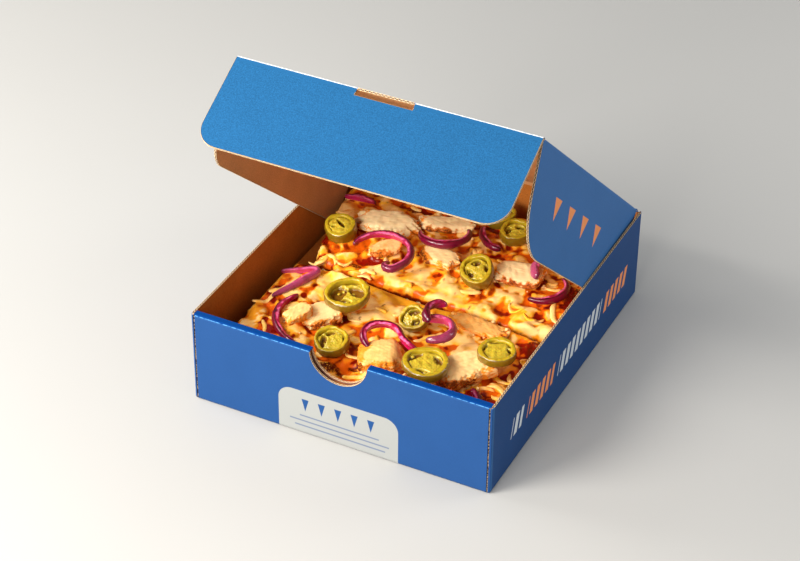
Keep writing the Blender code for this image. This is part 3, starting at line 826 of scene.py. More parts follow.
class PIZZABOX_OT_creases(bpy.types.Operator):
    """Add the folds at the lid's hinge and along the tuck flap."""

    bl_idname = "pizzabox.creases"
    bl_label = "Folds"

    def execute(self, context):
        board = context.scene.pizza_board
        lid, flap = turn_x(-LID_OPEN)[1:, 1:], turn_x(FLAP_TILT)[1:, 1:]
        up, back = np.array([0.0, 1.0]), np.array([1.0, 0.0])
        half, slot = LID_HALF_WIDTH, SLOT_WIDTH / 2
        add_crease("lid_crease", HINGE, -up, lid @ -back, (back, lid @ up),
                   [(0.3 * MM - half, half - 0.3 * MM)],
                   crease_finish("lid_crease", board.lightened_lid_ink, board.crack_and_highlight, 0.5))
        add_crease("flap_crease", FOLD, lid @ back, flap @ -back, (lid @ up, flap @ up),
                   [(-half, -slot), (slot, half)],
                   crease_finish("flap_crease", board.flap_ink, board.glint, 0.95))
        return {"FINISHED"}


# ---- the pizza: places, bread, melted cheese ----

def ripple(x, y, phase=1.3):
    """The slow rise and fall of the cheese, about -1 to 1, as its solid has it."""
    wave = np.sin(210 * x + 3 * np.sin(95 * y + phase) + phase)
    cross = np.sin(260 * y + 2 * np.sin(120 * x - phase) - 2 * phase)
    return 0.5 * wave + 0.5 * cross


def cut_line(x):
    """Where the cut between the two pieces lies, as y for each x."""
    return CUT_PLACE + CUT_SLOPE * x


def back_left_edge(y):
    """The back piece's slanting left edge, as x for each y."""
    near, far = BACK_PIECE_LEFT
    return near + (far - near) * np.clip(y / LEFT_EDGE_REACH, 0, 1)


def pizza_place(side, s, t):
    """Places on one piece of the pizza for square numbers s and t from -1 to 1.

    Square places are pulled in near the corners and spread between the piece's four edges; the
    edge along the cut is y = place + slope x, and the back piece's left edge leans outward.
    """
    low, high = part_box(side + "_cheese")
    s, t = s * (1 - 0.035 * t ** 8), t * (1 - 0.05 * s ** 8)
    facing_cut = 1 if side == "back" else -1
    cut = cut_line(PIZZA_HALF_WIDTH * s) + facing_cut * CUT_GAP / 2
    front, back = (cut, high.y) if side == "back" else (low.y, cut)
    y = (front + back) / 2 + t * (back - front) / 2
    left = back_left_edge(y) if side == "back" else low.x
    x = (left + high.x) / 2 + s * (high.x - left) / 2
    return x, y


# Patches on each piece of the pizza: place x and y, half size along and across, in mm, and turn.
# Melted pools, bare sauce, lumps stained orange and charred spots
POOLS = {
    "back": (
        (18, 8, 17, 12, 20), (-11, 11, 13, 9, -20), (-41, 38, 13, 6, 10), (-20, 84, 30, 6, -4),
        (56, 22, 13, 6, -8), (-15, 62, 14, 7, 5), (-92, 70, 12, 8, 60), (78, 4, 10, 5, 20),
        (-28, 0, 9, 5, -10), (60, 86, 30, 6, -4), (88, 60, 12, 8, 20), (30, 52, 14, 6, 8),
    ),
    "front": (
        (-14, -32, 12, 9, 10), (-22, -19, 13, 5, -8), (2, -53, 8, 5, 30), (-96, -84, 9, 7, 30),
        (52, -40, 14, 7, -20), (-82, -30, 8, 6, 20), (90, -56, 10, 5, 30), (-52, -92, 9, 5, 10),
    ),
}
SAUCES = {
    "back": (
        (-96, 24, 9, 9, 0), (-47, -5, 8, 3, -15), (104, 36, 7, 18, 0), (-97, 90, 14, 6, 0),
        (-31, 92, 40, 4, 0), (2, 20, 4, 4, 0), (-22, 42, 6, 8, 20), (-52, 14, 12, 5, 20),
        (34, 64, 9, 6, 0), (64, 2, 9, 5, 0), (90, 8, 7, 6, 30), (-84, 8, 6, 4, 30),
    ),
    "front": (
        # The sauce at (-8, -114) also darkens the notch: partly sauce, partly painted shade.
        (-88, -84, 6, 5, 30), (-74, -92, 9, 7, -20), (-8, -114, 5, 4, 0), (100, -30, 13, 16, 30),
        (102, -56, 11, 18, 0), (16, -66, 12, 7, 0), (86, -98, 18, 11, 20), (-37, -56, 7, 6, 0),
        (36, -112, 14, 6, 0), (-96, -48, 5, 12, 10), (-66, -58, 7, 5, 0),
    ),
}
STAINS = {
    "back": (
        (-90, 26, 20, 22, 0), (-47, -3, 14, 6, 0), (-62, 20, 16, 12, 0), (-20, 44, 9, 8, 0),
        (66, 4, 14, 8, 10), (96, 34, 12, 34, 8), (2, 20, 7, 7, 0), (38, 8, 7, 9, 0),
        (-74, 4, 16, 6, 0), (-96, 80, 12, 18, 0), (0, 96, 90, 6, 0), (36, 60, 12, 8, 0),
        (-6, -2, 12, 4, 0),
    ),
    "front": (
        (-100, -62, 7, 40, 0), (-62, -62, 9, 8, 0), (-80, -92, 22, 10, 0), (-10, -92, 9, 18, 0),
        (72, -12, 40, 7, -3), (98, -62, 13, 44, 0), (14, -70, 14, 9, 0), (-90, -14, 12, 8, 0),
        (44, -80, 16, 12, 0), (70, -108, 40, 10, 0), (-50, -30, 8, 8, 0), (-12, -110, 20, 12, 0),
    ),
}
# Charred spots. The two thin ones at y = -9, along the cut, are a painted shadow line; the front
# ones near the notch, round x -24 to -3 and y -115 to -98, are partly char and partly painted
# shade.
CHARS = {
    "back": (
        (-99, 34, 4, 7, 0), (104, 48, 4, 9, 0), (-33, 90, 30, 3, 0), (30, 92, 36, 3, 0),
        (-22, 38, 4, 2, 0), (-50, -9, 8, 1.6, 0), (-60, 5, 6, 3, 0),
    ),
    "front": (
        (101, -28, 8, 10, 30), (-7, -115, 5, 4, 0), (-36, -56, 5, 3, 0), (-62, -68, 4, 3, 30),
        (92, -104, 8, 5, 0), (62, -9, 7, 1.6, -4), (-18, -111, 9, 5, 10), (-3, -104, 5, 3, 0),
        (-24, -98, 5, 4, 0), (84, -112, 12, 3, 0), (107, -70, 3, 8, 0),
    ),
}
# The smooth strip of the front piece along the cut: from x, to x, and its reach from the cut
BARE_STRIP = (-38 * MM, 44 * MM, 12 * MM)


def patches(table, side, x, y, seed):
    """How far places lie inside a table's ellipses: above 0 inside, with an uneven outline."""
    places = np.stack([x, y], -1)
    wobble = 0.22 * waves(places, 11 * MM, seed) + 0.12 * waves(places, 4.5 * MM, seed + 1)
    deepest = np.full(x.shape, -9.0)
    for middle_x, middle_y, along, across, turn in table[side]:
        u, v = spun(x - middle_x * MM, y - middle_y * MM, -math.radians(turn))
        u, v = u / (along * MM), v / (across * MM)
        deepest = np.maximum(deepest, 1 - np.sqrt(u * u + v * v) + wobble)
    return deepest


class Relief:
    """The top of one piece of the pizza on a fine square raster, which everything rests on.

    Each melted blob or shred is a bent capsule: with u along and v across it (v measured from its
    bend v = k u2), its height is h sqrt(1 - e) where e = ((|u| - a + b) / b)2 + (v / b)2. They join
    by a smooth maximum, the sum of their sixth powers to the power 1/6. Pools lie over them with a
    flat top and a round rim, and sauce patches let them sink.
    """

    STEP = 0.5 * MM

    def __init__(self, side, cheese):
        low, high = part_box(side + "_cheese")
        margin = 6 * MM
        self.x0, self.y0 = low.x - margin, low.y - margin
        self.xs = np.arange(self.x0, high.x + margin, self.STEP)
        self.ys = np.arange(self.y0, high.y + margin, self.STEP)
        self.side = side
        self.draw = np.random.default_rng(61 if side == "front" else 62)
        x, y = np.meshgrid(self.xs, self.ys)
        places = np.stack([x, y], -1)
        pool, sauce = patches(POOLS, side, x, y, 31), patches(SAUCES, side, x, y, 47)
        self.bare = self.bare_strip(x, y)
        thin = smooth(waves(places, 24 * MM, 11) + 0.5 * waves(places, 9 * MM, 12), 0.35, 1.3)
        thin = np.maximum(thin * 0.7, smooth(sauce, -0.05, 0.35)) * (1 - smooth(pool, -0.1, 0.3))
        sunk = (1 - 0.8 * thin) * (1 - 0.9 * self.bare)
        blobs = self.capsules(cheese.blob_spacing, (5.0, 13.0), (4.2, 7.4), cheese.blob_height)
        shreds = self.capsules(cheese.blob_spacing * 0.9, (4.0, 9.0), (1.8, 2.8),
                               cheese.blob_height * 0.5)
        flat = 2.3 * MM * np.sqrt(smooth(pool, -0.10, 0.42))
        cover = (((blobs + 0.4 * shreds) * sunk) ** 4 + flat ** 4) ** 0.25
        melted = self.softened(cover, 30)
        cover = cover + (melted - cover) * (0.3 + 0.5 * smooth(pool, 0.0, 0.3))
        cover = self.softened(cover, 10)
        lumps = 0.14 * MM * waves(places, 6 * MM, 13)
        beside_cut = smooth(cut_line(x) - y, 13 * MM, 3 * MM) * (side == "front")
        base = CHEESE_LEVEL[side] + 1.4 * MM * ripple(x, y) + 1.8 * MM * beside_cut
        self.height = base - 1.3 * MM + cover + lumps * (1 - 0.7 * self.bare)
        self.colour(x, y, pool, sauce, cover)

    def colour(self, x, y, pool, sauce, cover):
        """How thick, red and toasted the cheese is, and how strong the juices and painted shadow
        round toppings are, from its cover and the patches.
        """
        places, side = np.stack([x, y], -1), self.side
        stain = smooth(patches(STAINS, side, x, y, 53), -0.15, 0.45)
        valley = np.clip((self.softened(cover, 60) - cover) / (0.35 * MM), 0, 1)
        self.thickness = cover / (2.5 * MM) * (1 - 0.5 * stain) - 0.40 * valley
        self.thickness = np.clip(self.thickness, 0, 1.3)
        self.red = smooth(0.45 * waves(places, 14 * MM, 16) + 1.3 * smooth(sauce, -0.2, 0.6)
                          + 0.5 * valley * smooth(waves(places, 9 * MM, 15), 0.0, 0.9), 0.1, 1.2)
        spots = waves(places, 5.5 * MM, 17, 18) + 0.8 * waves(places, 16 * MM, 18)
        charred = smooth(patches(CHARS, side, x, y, 59), 0.0, 0.35)
        freckles = smooth(waves(places, 3.4 * MM, 21, 18), 1.35, 2.0)
        freckles *= 1 - smooth(pool, -0.1, 0.2)
        browned = np.maximum(smooth(spots, 1.6, 2.5), 0.3 * freckles) * (1 - 0.6 * self.bare)
        self.toast = np.maximum(browned, charred * 1.6)
        self.juice_and_shadow_share = smooth(waves(places, 7 * MM, 22), -0.9, 0.5)

    def bare_strip(self, x, y):
        """1 along the smooth strip beside the cut, on the front piece only."""
        if self.side == "back":
            return np.zeros_like(x)
        start, end, reach = BARE_STRIP
        gap = cut_line(x) - y
        uneven = 3 * MM * waves(np.stack([x, y], -1), 14 * MM, 19)
        along = smooth(x, start - 8 * MM, start) * (1 - smooth(x, end, end + 20 * MM))
        return along * (1 - smooth(gap + uneven, reach - 3 * MM, reach + 3 * MM))

    def capsules(self, spacing, lengths, widths, height):
        """The height of a drawn scatter of bent capsules; lengths and widths are halves, in mm."""
        draw = self.draw
        total = np.zeros((len(self.ys), len(self.xs)))
        area = (self.xs[-1] - self.xs[0]) * (self.ys[-1] - self.ys[0])
        for _ in range(int(area / spacing ** 2)):
            cx, cy = draw.uniform(self.xs[0], self.xs[-1]), draw.uniform(self.ys[0], self.ys[-1])
            turn = draw.uniform(0, math.pi)
            half, wide = draw.uniform(*lengths) * MM, draw.uniform(*widths) * MM
            high = height * draw.uniform(0.4, 1.0)
            bend = draw.uniform(-30, 30)
            reach = half + wide
            columns = slice(*np.searchsorted(self.xs, (cx - reach, cx + reach)))
            rows = slice(*np.searchsorted(self.ys, (cy - reach, cy + reach)))
            dx, dy = np.meshgrid(self.xs[columns] - cx, self.ys[rows] - cy)
            u, v = spun(dx, dy, -turn)
            v -= bend * u * u
            e = (np.maximum(np.abs(u) - half + wide, 0) / wide) ** 2 + (v / wide) ** 2
            total[rows, columns] += (high * np.sqrt(np.clip(1 - e, 0, 1))) ** 6
        return total ** (1 / 6)

    @staticmethod
    def softened(values, times):
        """Values averaged with their neighbours, a few times over."""
        for _ in range(times):
            padded = np.pad(values, 1, mode="edge")
            values = (2 * padded[1:-1, 1:-1] + padded[:-2, 1:-1] + padded[2:, 1:-1]
                      + padded[1:-1, :-2] + padded[1:-1, 2:]) / 6
        return values

    def nestle(self, name):
        """Let the cheese rise to meet a topping's underside, with a dark ring round its foot:
        juices and painted shadow.
        """
        low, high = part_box(name)
        x, y = np.meshgrid(self.xs, self.ys)
        middle, half = (low + high) / 2, (high - low) / 2
        reach = 1.5 * MM
        e = np.hypot((x - middle.x) / (half.x + reach), (y - middle.y) / (half.y + reach))
        under = self.sample("height", np.array([middle.x]), np.array([middle.y]))[0]
        if low.z - under > 4 * MM:
            return
        # A dark red, toasted ring round the topping's foot: juices and a painted contact shadow.
        juice_and_shadow_ring = smooth(e, 0.70, 0.98) * (1 - smooth(e, 1.02, 1.30)) * self.juice_and_shadow_share
        self.thickness = self.thickness - 0.7 * juice_and_shadow_ring
        self.red = self.red + 0.8 * juice_and_shadow_ring
        self.toast = np.maximum(self.toast, 0.55 * juice_and_shadow_ring)
        lift = np.minimum(low.z + 0.5 * MM - self.height, 2.5 * MM)
        self.height += np.maximum(lift, 0) * (1 - smooth(e, 0.75, 1.15))

    def sample(self, name, x, y):
        """One of the raster's values at any places, between its points."""
        values = getattr(self, name)
        u = np.clip((x - self.x0) / self.STEP, 0, len(self.xs) - 1.001)
        v = np.clip((y - self.y0) / self.STEP, 0, len(self.ys) - 1.001)
        column, row = u.astype(int), v.astype(int)
        u, v = u - column, v - row
        near = values[row, column] * (1 - u) + values[row, column + 1] * u
        far = values[row + 1, column] * (1 - u) + values[row + 1, column + 1] * u
        return near * (1 - v) + far * v


RELIEFS = {}


def relief_at(name, x, y):
    """A value of whichever piece's raster lies under each place."""
    back = y > cut_line(x)
    return np.where(back, RELIEFS["back"].sample(name, x, y), RELIEFS["front"].sample(name, x, y))


def rim_normals(loop):
    """Unit directions out of a closed outline that runs anticlockwise."""
    along = np.roll(loop, -3, axis=0) - np.roll(loop, 3, axis=0)
    out = np.stack([along[:, 1], -along[:, 0]], -1)
    return out / np.linalg.norm(out, axis=1, keepdims=True)


def slab(top, loop_index, profile):
    """A closed slab: a grid of top points, rings that go down from its rim, and a middle below.

    profile gives, for each ring, how far out of the rim and at what height it lies.
    """
    rows, columns, _ = top.shape
    rim = top.reshape(-1, 3)[loop_index]
    out = rim_normals(rim[:, :2])
    count = len(loop_index)
    rings = []
    for reach, height in profile:
        rings.append(np.column_stack([rim[:, :2] + out * np.reshape(reach, (-1, 1)),
                                      np.broadcast_to(height, count)]))
    middle = rings[-1].mean(0, keepdims=True)
    points = np.concatenate([top.reshape(-1, 3), *rings, middle])
    after = np.roll(np.arange(count), -1)
    above = loop_index
    sides = []
    for ring in range(len(rings)):
        below = rows * columns + ring * count + np.arange(count)
        sides.append(np.stack([above, below, below[after], above[after]], -1))
        above = below
    cap = np.stack([above[after], above, np.full(count, len(points) - 1)], -1)
    return points, [np.concatenate([grid_quads(rows, columns), *sides]), cap]


def rim_of_grid(rows, columns):
    """The indices round a grid's rim, anticlockwise, with rows along +Y and columns along +X."""
    index = np.arange(rows * columns).reshape(rows, columns)
    return np.concatenate([index[0, :-1], index[:-1, -1], index[-1, :0:-1], index[:0:-1, 0]])


def square_grid(side, cell, inset=0.0):
    """Places on one piece of the pizza on an even grid, pulled in from its edges by inset."""
    low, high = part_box(side + "_cheese")
    size = high - low
    s = np.linspace(-1, 1, int(size.x / cell)) * (1 - 2 * inset / size.x)
    t = np.linspace(-1, 1, int(size.y / cell)) * (1 - 2 * inset / size.y)
    return pizza_place(side, *np.meshgrid(s, t))


def add_cheese(side, material, cheese):
    """The melted top of one piece: the relief rounded off at the rim, with lumpy hanging sides."""
    relief = RELIEFS[side]
    x, y = square_grid(side, cheese.cell, 1.5 * MM)
    rows, columns = x.shape
    r = np.minimum(np.arange(rows), np.arange(rows)[::-1])[:, None] * cheese.cell
    c = np.minimum(np.arange(columns), np.arange(columns)[::-1])[None, :] * cheese.cell
    soft = 6 * MM
    inward = np.hypot(np.minimum(r, soft) - soft, np.minimum(c, soft) - soft) / soft
    rounding = 3.0 * MM * (1 - np.sqrt(np.clip(1 - np.minimum(inward, 1) ** 2.4, 0, 1)))
    z = relief.sample("height", x, y) - rounding
    top = np.stack([x, y, z], -1)
    loop = rim_of_grid(rows, columns)
    rim = top.reshape(-1, 3)[loop]
    lump = waves(rim[:, :2], 8 * MM, 71) + 0.6 * waves(rim[:, :2], 3.5 * MM, 72)
    drip = 1.4 * MM * waves(rim[:, :2], 10 * MM, 73) + 0.6 * MM * waves(rim[:, :2], 4 * MM, 74)
    bottom = DOUGH_TOP[side] - 1.0 * MM + drip
    shares = np.array([0.12, 0.25, 0.40, 0.56, 0.72, 0.86, 0.96, 1.0])
    bulges = (0.55, 1.0, 1.35, 1.5, 1.4, 0.95, 0.2, -1.2)
    from_cut = np.abs(rim[:, 1] - cut_line(rim[:, 0]))
    narrow = 0.15 + 0.85 * smooth(from_cut, 3 * MM, 8 * MM)
    profile, fields, uneven = [], {}, []
    for share_down, bulge in zip(shares, bulges):
        height = rim[:, 2] + (bottom - rim[:, 2]) * share_down
        side_places = np.column_stack([rim[:, :2], height])
        rough = waves(side_places, 5 * MM, 75)
        uneven.append(rough)
        profile.append((bulge * narrow * (1.0 + 0.5 * lump + 0.25 * rough) * MM, height))
    points, faces = slab(top, loop, profile)
    down = np.repeat(shares, len(loop))
    uneven = np.concatenate(uneven)
    # Down the hanging sides in the open part of the cut, the cheese is painted dark red and
    # toasted: painted shade in the cut.
    open_cut = (1 - narrow) * (1 - 0.7 * smooth(rim[:, 0], 14 * MM, 30 * MM))
    painted_cut_shade = np.tile(open_cut, len(shares)) * smooth(down, 0.25, 0.55)
    for key, lower, spread, dark in (("thickness", 0.30, 0.35, 0), ("red", 0.25, 0.3, 1),
                                     ("toast", 0.15, 0.25, 2), ("bare", 0.0, 0.0, 0)):
        grid = relief.sample(key, x, y).ravel()
        hanging = np.tile(grid[loop], len(shares)) * (1 - down) + down * (lower + spread * uneven)
        hanging = hanging * (1 - painted_cut_shade) + dark * painted_cut_shade
        fields[key] = np.concatenate([grid, np.clip(hanging, 0, 1.3), [0]])
    baked = np.clip(inward, 0, 1) ** 4 * 0.5
    fields["rim"] = np.concatenate([baked.ravel(), 0.5 + 0.5 * down, [1]])
    return make_piece("melted_" + side, points, faces, material, fields,
                      [side + "_cheese"])


def add_bread(side, material):
    """The bread under one piece: a slab with a bulging, faintly wrinkled side."""
    x, y = square_grid(side, 2.0 * MM, 1.6 * MM)
    low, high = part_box(side + "_dough")
    top = np.stack([x, y, np.full_like(x, high.z)], -1)
    loop = rim_of_grid(*x.shape)
    rim = top.reshape(-1, 3)[loop]
    lump = waves(rim[:, :2], 12 * MM, 81) + 0.5 * waves(rim[:, :2], 4 * MM, 82)
    steps = 8
    heights = np.linspace(high.z, low.z, steps + 1)[1:]
    bulges = 1.3 * MM * np.sin(np.linspace(0.15, 1, steps) * math.pi) ** 0.6
    profile = [(bulge * (1 + 0.35 * lump), np.full(len(loop), height))
               for bulge, height in zip(bulges, heights)]
    points, faces = slab(top, loop, profile)
    down = np.concatenate([np.zeros(x.size), np.repeat(np.linspace(0.1, 1, steps), len(loop)), [1]])
    return make_piece("bread_" + side, points, faces, material, {"down": down},
                      [side + "_dough"])


def bread_finish(cheese):
    """Bread: pale crumb near the top of a side, baked brown towards the underside."""
    finish = Finish("bread", Roughness=0.75)
    down = finish.field("down") + (finish.noise(5 * MM, 3) - 0.5) * 0.7
    pores = finish.noise(1.4 * MM, 3)
    shade = down.above(0.55, 0.7).mix(cheese.crumb, cheese.crust)
    shade = (pores.above(0.6, 0.2) * 0.5).mix(shade, tinted(cheese.crust, 0.6))
    finish.bump(pores, 0.4 * MM, 0.7)
    return finish.paint(Base_Color=shade)


def cheese_finish(cheese, name="cheese"):
    """Melted cheese: red sauce where it is thinnest, then orange oil, gold, lemon and cream."""
    finish = Finish(name, Specular_IOR_Level=0.20, Subsurface_Weight=0.12, Subsurface_Scale=0.0015)
    finish.set(finish.shader, {"Subsurface_Radius": (1.0, 0.6, 0.25)})
    fine, broad = finish.noise(1.3 * MM, 3), finish.noise(8 * MM, 2)
    thick = finish.field("thickness") + (fine - 0.5) * 0.16 + (broad - 0.5) * 0.3
    red = finish.field("red") + (broad - 0.5) * 0.8
    wet = red.above(0.65, 0.6).mix(cheese.oil, cheese.sauce)
    shade = thick.above(0.31, 0.34).mix(wet, cheese.golden)
    milky = finish.noise(11 * MM, 2).above(0.48, 0.3).mix(cheese.lemon, cheese.cream)
    shade = thick.above(0.64, 0.30).mix(shade, milky)
    shade = thick.above(1.10, 0.5).mix(shade, cheese.cream)
    smooth_oil = broad.mix(tinted(cheese.golden, 0.58), tinted(cheese.lemon, 0.84))
    shade = (finish.field("bare") * 0.85).mix(shade, smooth_oil)
    # Browned spots and rims, and painted shade along the cut and round the toppings.
    baked = (finish.field("toast") * fine.above(0.42, 0.25)).most(
        finish.field("rim") * broad.above(0.48, 0.4) * 0.5)
    shade = (baked * 0.8).mix(shade, cheese.toast)
    finish.bump(fine, 0.2 * MM, 0.18)
    return finish.paint(Base_Color=shade, Roughness=0.28 + thick.least(1) * 0.14)


class PIZZABOX_OT_cheese(bpy.types.Operator):
    """Add both pieces' bread and melted cheese."""

    bl_idname = "pizzabox.cheese"
    bl_label = "Bread and cheese"

    def execute(self, context):
        cheese = context.scene.pizza_cheese
        bread, melted = bread_finish(cheese), cheese_finish(cheese)
        for side in ("front", "back"):
            RELIEFS[side] = Relief(side, cheese)
        for name in sorted(frame["nodes"]):
            if name.split("_")[0] in ("chicken", "chilli", "onion"):
                low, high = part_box(name)
                on_back = (low.y + high.y) / 2 > cut_line((low.x + high.x) / 2)
                RELIEFS["back" if on_back else "front"].nestle(name)
        for side in ("front", "back"):
            add_bread(side, bread)
            add_cheese(side, melted, cheese)
        return {"FINISHED"}


# ---- toppings ----

def node_axes(name):
    """A solid's own axes and size: its middle, unit axes from longest to shortest, half sizes."""
    mesh = frame["nodes"][name].data
    places = np.empty(len(mesh.vertices) * 3, np.float32)
    mesh.vertices.foreach_get("co", places)
    places = np.unique(places.reshape(-1, 3).round(6), axis=0).astype(float)
    spread = places - places.mean(0)
    _, axes = np.linalg.eigh(spread.T @ spread)
    axes = axes[:, ::-1].T
    axes[0] *= 1 if axes[0][0] > 0 else -1
    axes[2] *= 1 if axes[2][2] > 0 else -1
    axes[1] = np.cross(axes[2], axes[0])
    reach = spread @ axes.T
    low, high = reach.min(0), reach.max(0)
    return places.mean(0) + (low + high) / 2 @ axes, axes, (high - low) / 2


def ball(rows, columns):
    """Unit directions over a ball, a first pole, rings and a last pole, and the ball's faces."""
    polar = np.linspace(0, math.pi, rows + 2)[1:-1, None]
    around = circle(columns)[None, :]
    rings = np.stack([np.sin(polar) * np.cos(around), np.sin(polar) * np.sin(around),
                      np.cos(polar) * np.ones_like(around)], -1)
    return (np.concatenate([[[0, 0, 1]], rings.reshape(-1, 3), [[0, 0, -1]]]),
            [part[:, ::-1] for part in closed_faces(rows, columns)])


# Chicken: name, how torn its outline is, how sharp its corners are, how roasted it is, which way
# its skin side faces (a longer way reaches further) and how dark that is, how pale its meat is
# painted (paler on the pieces in shade at the back: painted light), its size against its solid,
# seed
CHICKEN_LOOKS = (
    ("back_left", 1.0, 9, 0.00, (0, 0, 0), 0, 1.0, 1.10, 1),
    ("back_middle", 0.6, 8, 0.05, (0.2, -1, -0.1), 0.6, 0.9, 1.05, 2),
    ("under_arc", 0.6, 7, 0.30, (0.4, -1.1, -0.2), 0.6, 0.3, 1.15, 3),
    ("torn", 0.9, 8, 0.10, (-0.9, -0.6, 0), 0.3, 0.6, 1.05, 4),
    ("back_right", 0.35, 9, 0.05, (0.1, -0.95, -0.35), 0.9, 0.8, 1.05, 5),
    ("front_left", 0.9, 9, 0.15, (0.5, -0.8, -0.3), 0.4, 0.5, 1.15, 6),
    ("front_left_small", 0.8, 8, 0.20, (0, 0, 0), 0, 0.2, 1.15, 7),
    ("front_middle", 0.9, 4.5, 0.25, (-1.7, -0.5, -0.1), 0.1, 0.1, 1.13, 8),
    ("front_right", 0.8, 10, 0.12, (0.2, -1, -0.5), 0.7, 0.4, 1.06, 9),
    ("flat_right", 1.0, 8, 0.32, (0, 0, 0), 0, 0.0, 1.0, 10),
)


def chunk(half, torn, sharp, skin_way, seed):
    """A torn chunk of meat about the origin: its points, faces and fields.

    In direction d its surface lies at r = (sum of max(0, d.n / h)^k)^(-1/k) over flat sides with
    normals n at distances h: a block whose drawn, tilted sides meet more sharply for a larger k.
    Its outline in plan is scaled by 1 + torn times waves of the plan angle, which makes broken
    teeth, and fibres run along X as low ridges across y and z.
    """
    draw = np.random.default_rng(100 + seed)
    ways = np.concatenate([np.eye(3), -np.eye(3), draw.normal(size=(8, 3)) * (1, 1, 0.45)])
    ways[:6] += draw.uniform(-0.12, 0.12, (6, 3))
    ways /= np.linalg.norm(ways, axis=1, keepdims=True)
    reach = np.concatenate([np.ones(6), draw.uniform(0.95, 1.16, 8)])
    d, faces = ball(120, 200)
    push = np.maximum(d @ ways.T / reach, 0)
    p = d / (push ** sharp).sum(1, keepdims=True) ** (1 / sharp) * half
    plan = np.stack([p[:, 0] / half[0], p[:, 1] / half[1]], -1)
    out = np.linalg.norm(plan, axis=1)
    turned = plan / np.maximum(out, 1e-9)[:, None]
    small = 4 * MM / half[:2].mean()
    teeth = waves(turned, 2.2 * small, seed + 22) + 0.7 * waves(turned, small, seed + 23)
    layer = waves(np.column_stack([turned, p[:, 2] / half[2]]), 2.5 * small, seed + 24)
    p[:, :2] *= 1 + (0.07 * torn * (teeth + 0.6 * layer) * smooth(out, 0.68, 0.98))[:, None]
    bundles = p * (0.14, 1, 1)
    fibre = waves(bundles, 2.2 * MM, seed + 20, 16) + 0.6 * waves(bundles, 1.1 * MM, seed + 21, 16)
    lump = waves(p, 7 * MM, seed + 25) + 0.5 * waves(p, 3.5 * MM, seed + 27)
    crumbs = waves(p, 1.9 * MM, seed + 26, 16)
    side = smooth(out, 0.78, 1.02)
    ridged = 0.03 + 0.06 * side
    p = p + d * ((ridged * fibre + 0.17 * lump + (0.01 + 0.18 * side) * crumbs) * MM)[:, None]
    low = -p[:, 2] / half[2]
    skin = smooth((p / half) @ skin_way + 0.14 * lump, 0.50, 1.0)
    edge = smooth(low + 0.30 * lump + 0.25 * crumbs, 0.0, 0.9).clip(0, 1)
    rim = side * smooth(0.6 * lump + 0.4 * crumbs + 0.2, -0.4, 1.2)
    return p, faces, {"fibre": fibre, "low": np.maximum(edge, 0.75 * rim), "skin": skin}


def chicken_finish(name, roast, dark, pale, toppings):
    """Chicken: cream meat with faint lines between fibres, golden low down, brown on the skin; the
    meat is painted paler on pieces in shade, as painted light.
    """
    finish = Finish(name, Specular_IOR_Level=0.25, Subsurface_Weight=0.08, Subsurface_Scale=0.0015)
    fine, broad = finish.noise(1.1 * MM, 3), finish.noise(7 * MM, 2)
    lines = (finish.field("fibre") * (0.08 * pale - 0.14) + (fine - 0.5) * 0.45 + 0.08).least(0.5)
    # pale lightens the meat of pieces that lie in shade: painted light.
    meat = blended(toppings.meat, toppings.shade_lightened_meat, pale)
    pink = broad.above(0.5, 0.5).mix(lines.mix(meat, toppings.roast), tinted(meat, 0.92))
    gold = (finish.field("low") * 1.35 + (broad - 0.5) * 0.9 + (fine - 0.5) * 0.4 + roast)
    shade = gold.above(0.50, 0.6).mix(pink, toppings.roast)
    brown = finish.field("skin") * (broad * 0.6 + fine * 0.7)
    shade = brown.above(0.34, 0.40).mix(shade, blended(toppings.roast, toppings.browned, dark))
    burnt = finish.field("skin") * 0.45 + finish.field("low") * 0.35 + fine * 0.95
    spots = burnt.above(1.05, 0.2)
    shade = (spots * 0.85).mix(shade, toppings.char)
    finish.bump(fine, 0.2 * MM, 0.25)
    return finish.paint(Base_Color=shade, Roughness=0.48 - finish.field("skin") * 0.12)


class PIZZABOX_OT_chicken(bpy.types.Operator):
    """Add the torn chicken chunks."""

    bl_idname = "pizzabox.chicken"
    bl_label = "Chicken"

    def execute(self, context):
        toppings = context.scene.pizza_toppings
        for name, torn, sharp, roast, skin_way, dark, pale, size, seed in CHICKEN_LOOKS:
            node = "chicken_" + name
            middle, axes, half = node_axes(node)
            skin_way = axes @ np.array(skin_way)
            points, faces, fields = chunk(half * size, torn, sharp, skin_way, seed)
            material = chicken_finish(node, roast, dark, pale, toppings)
            make_piece("torn_" + node, middle + points @ axes, faces, material, fields,
                       [node])
        return {"FINISHED"}


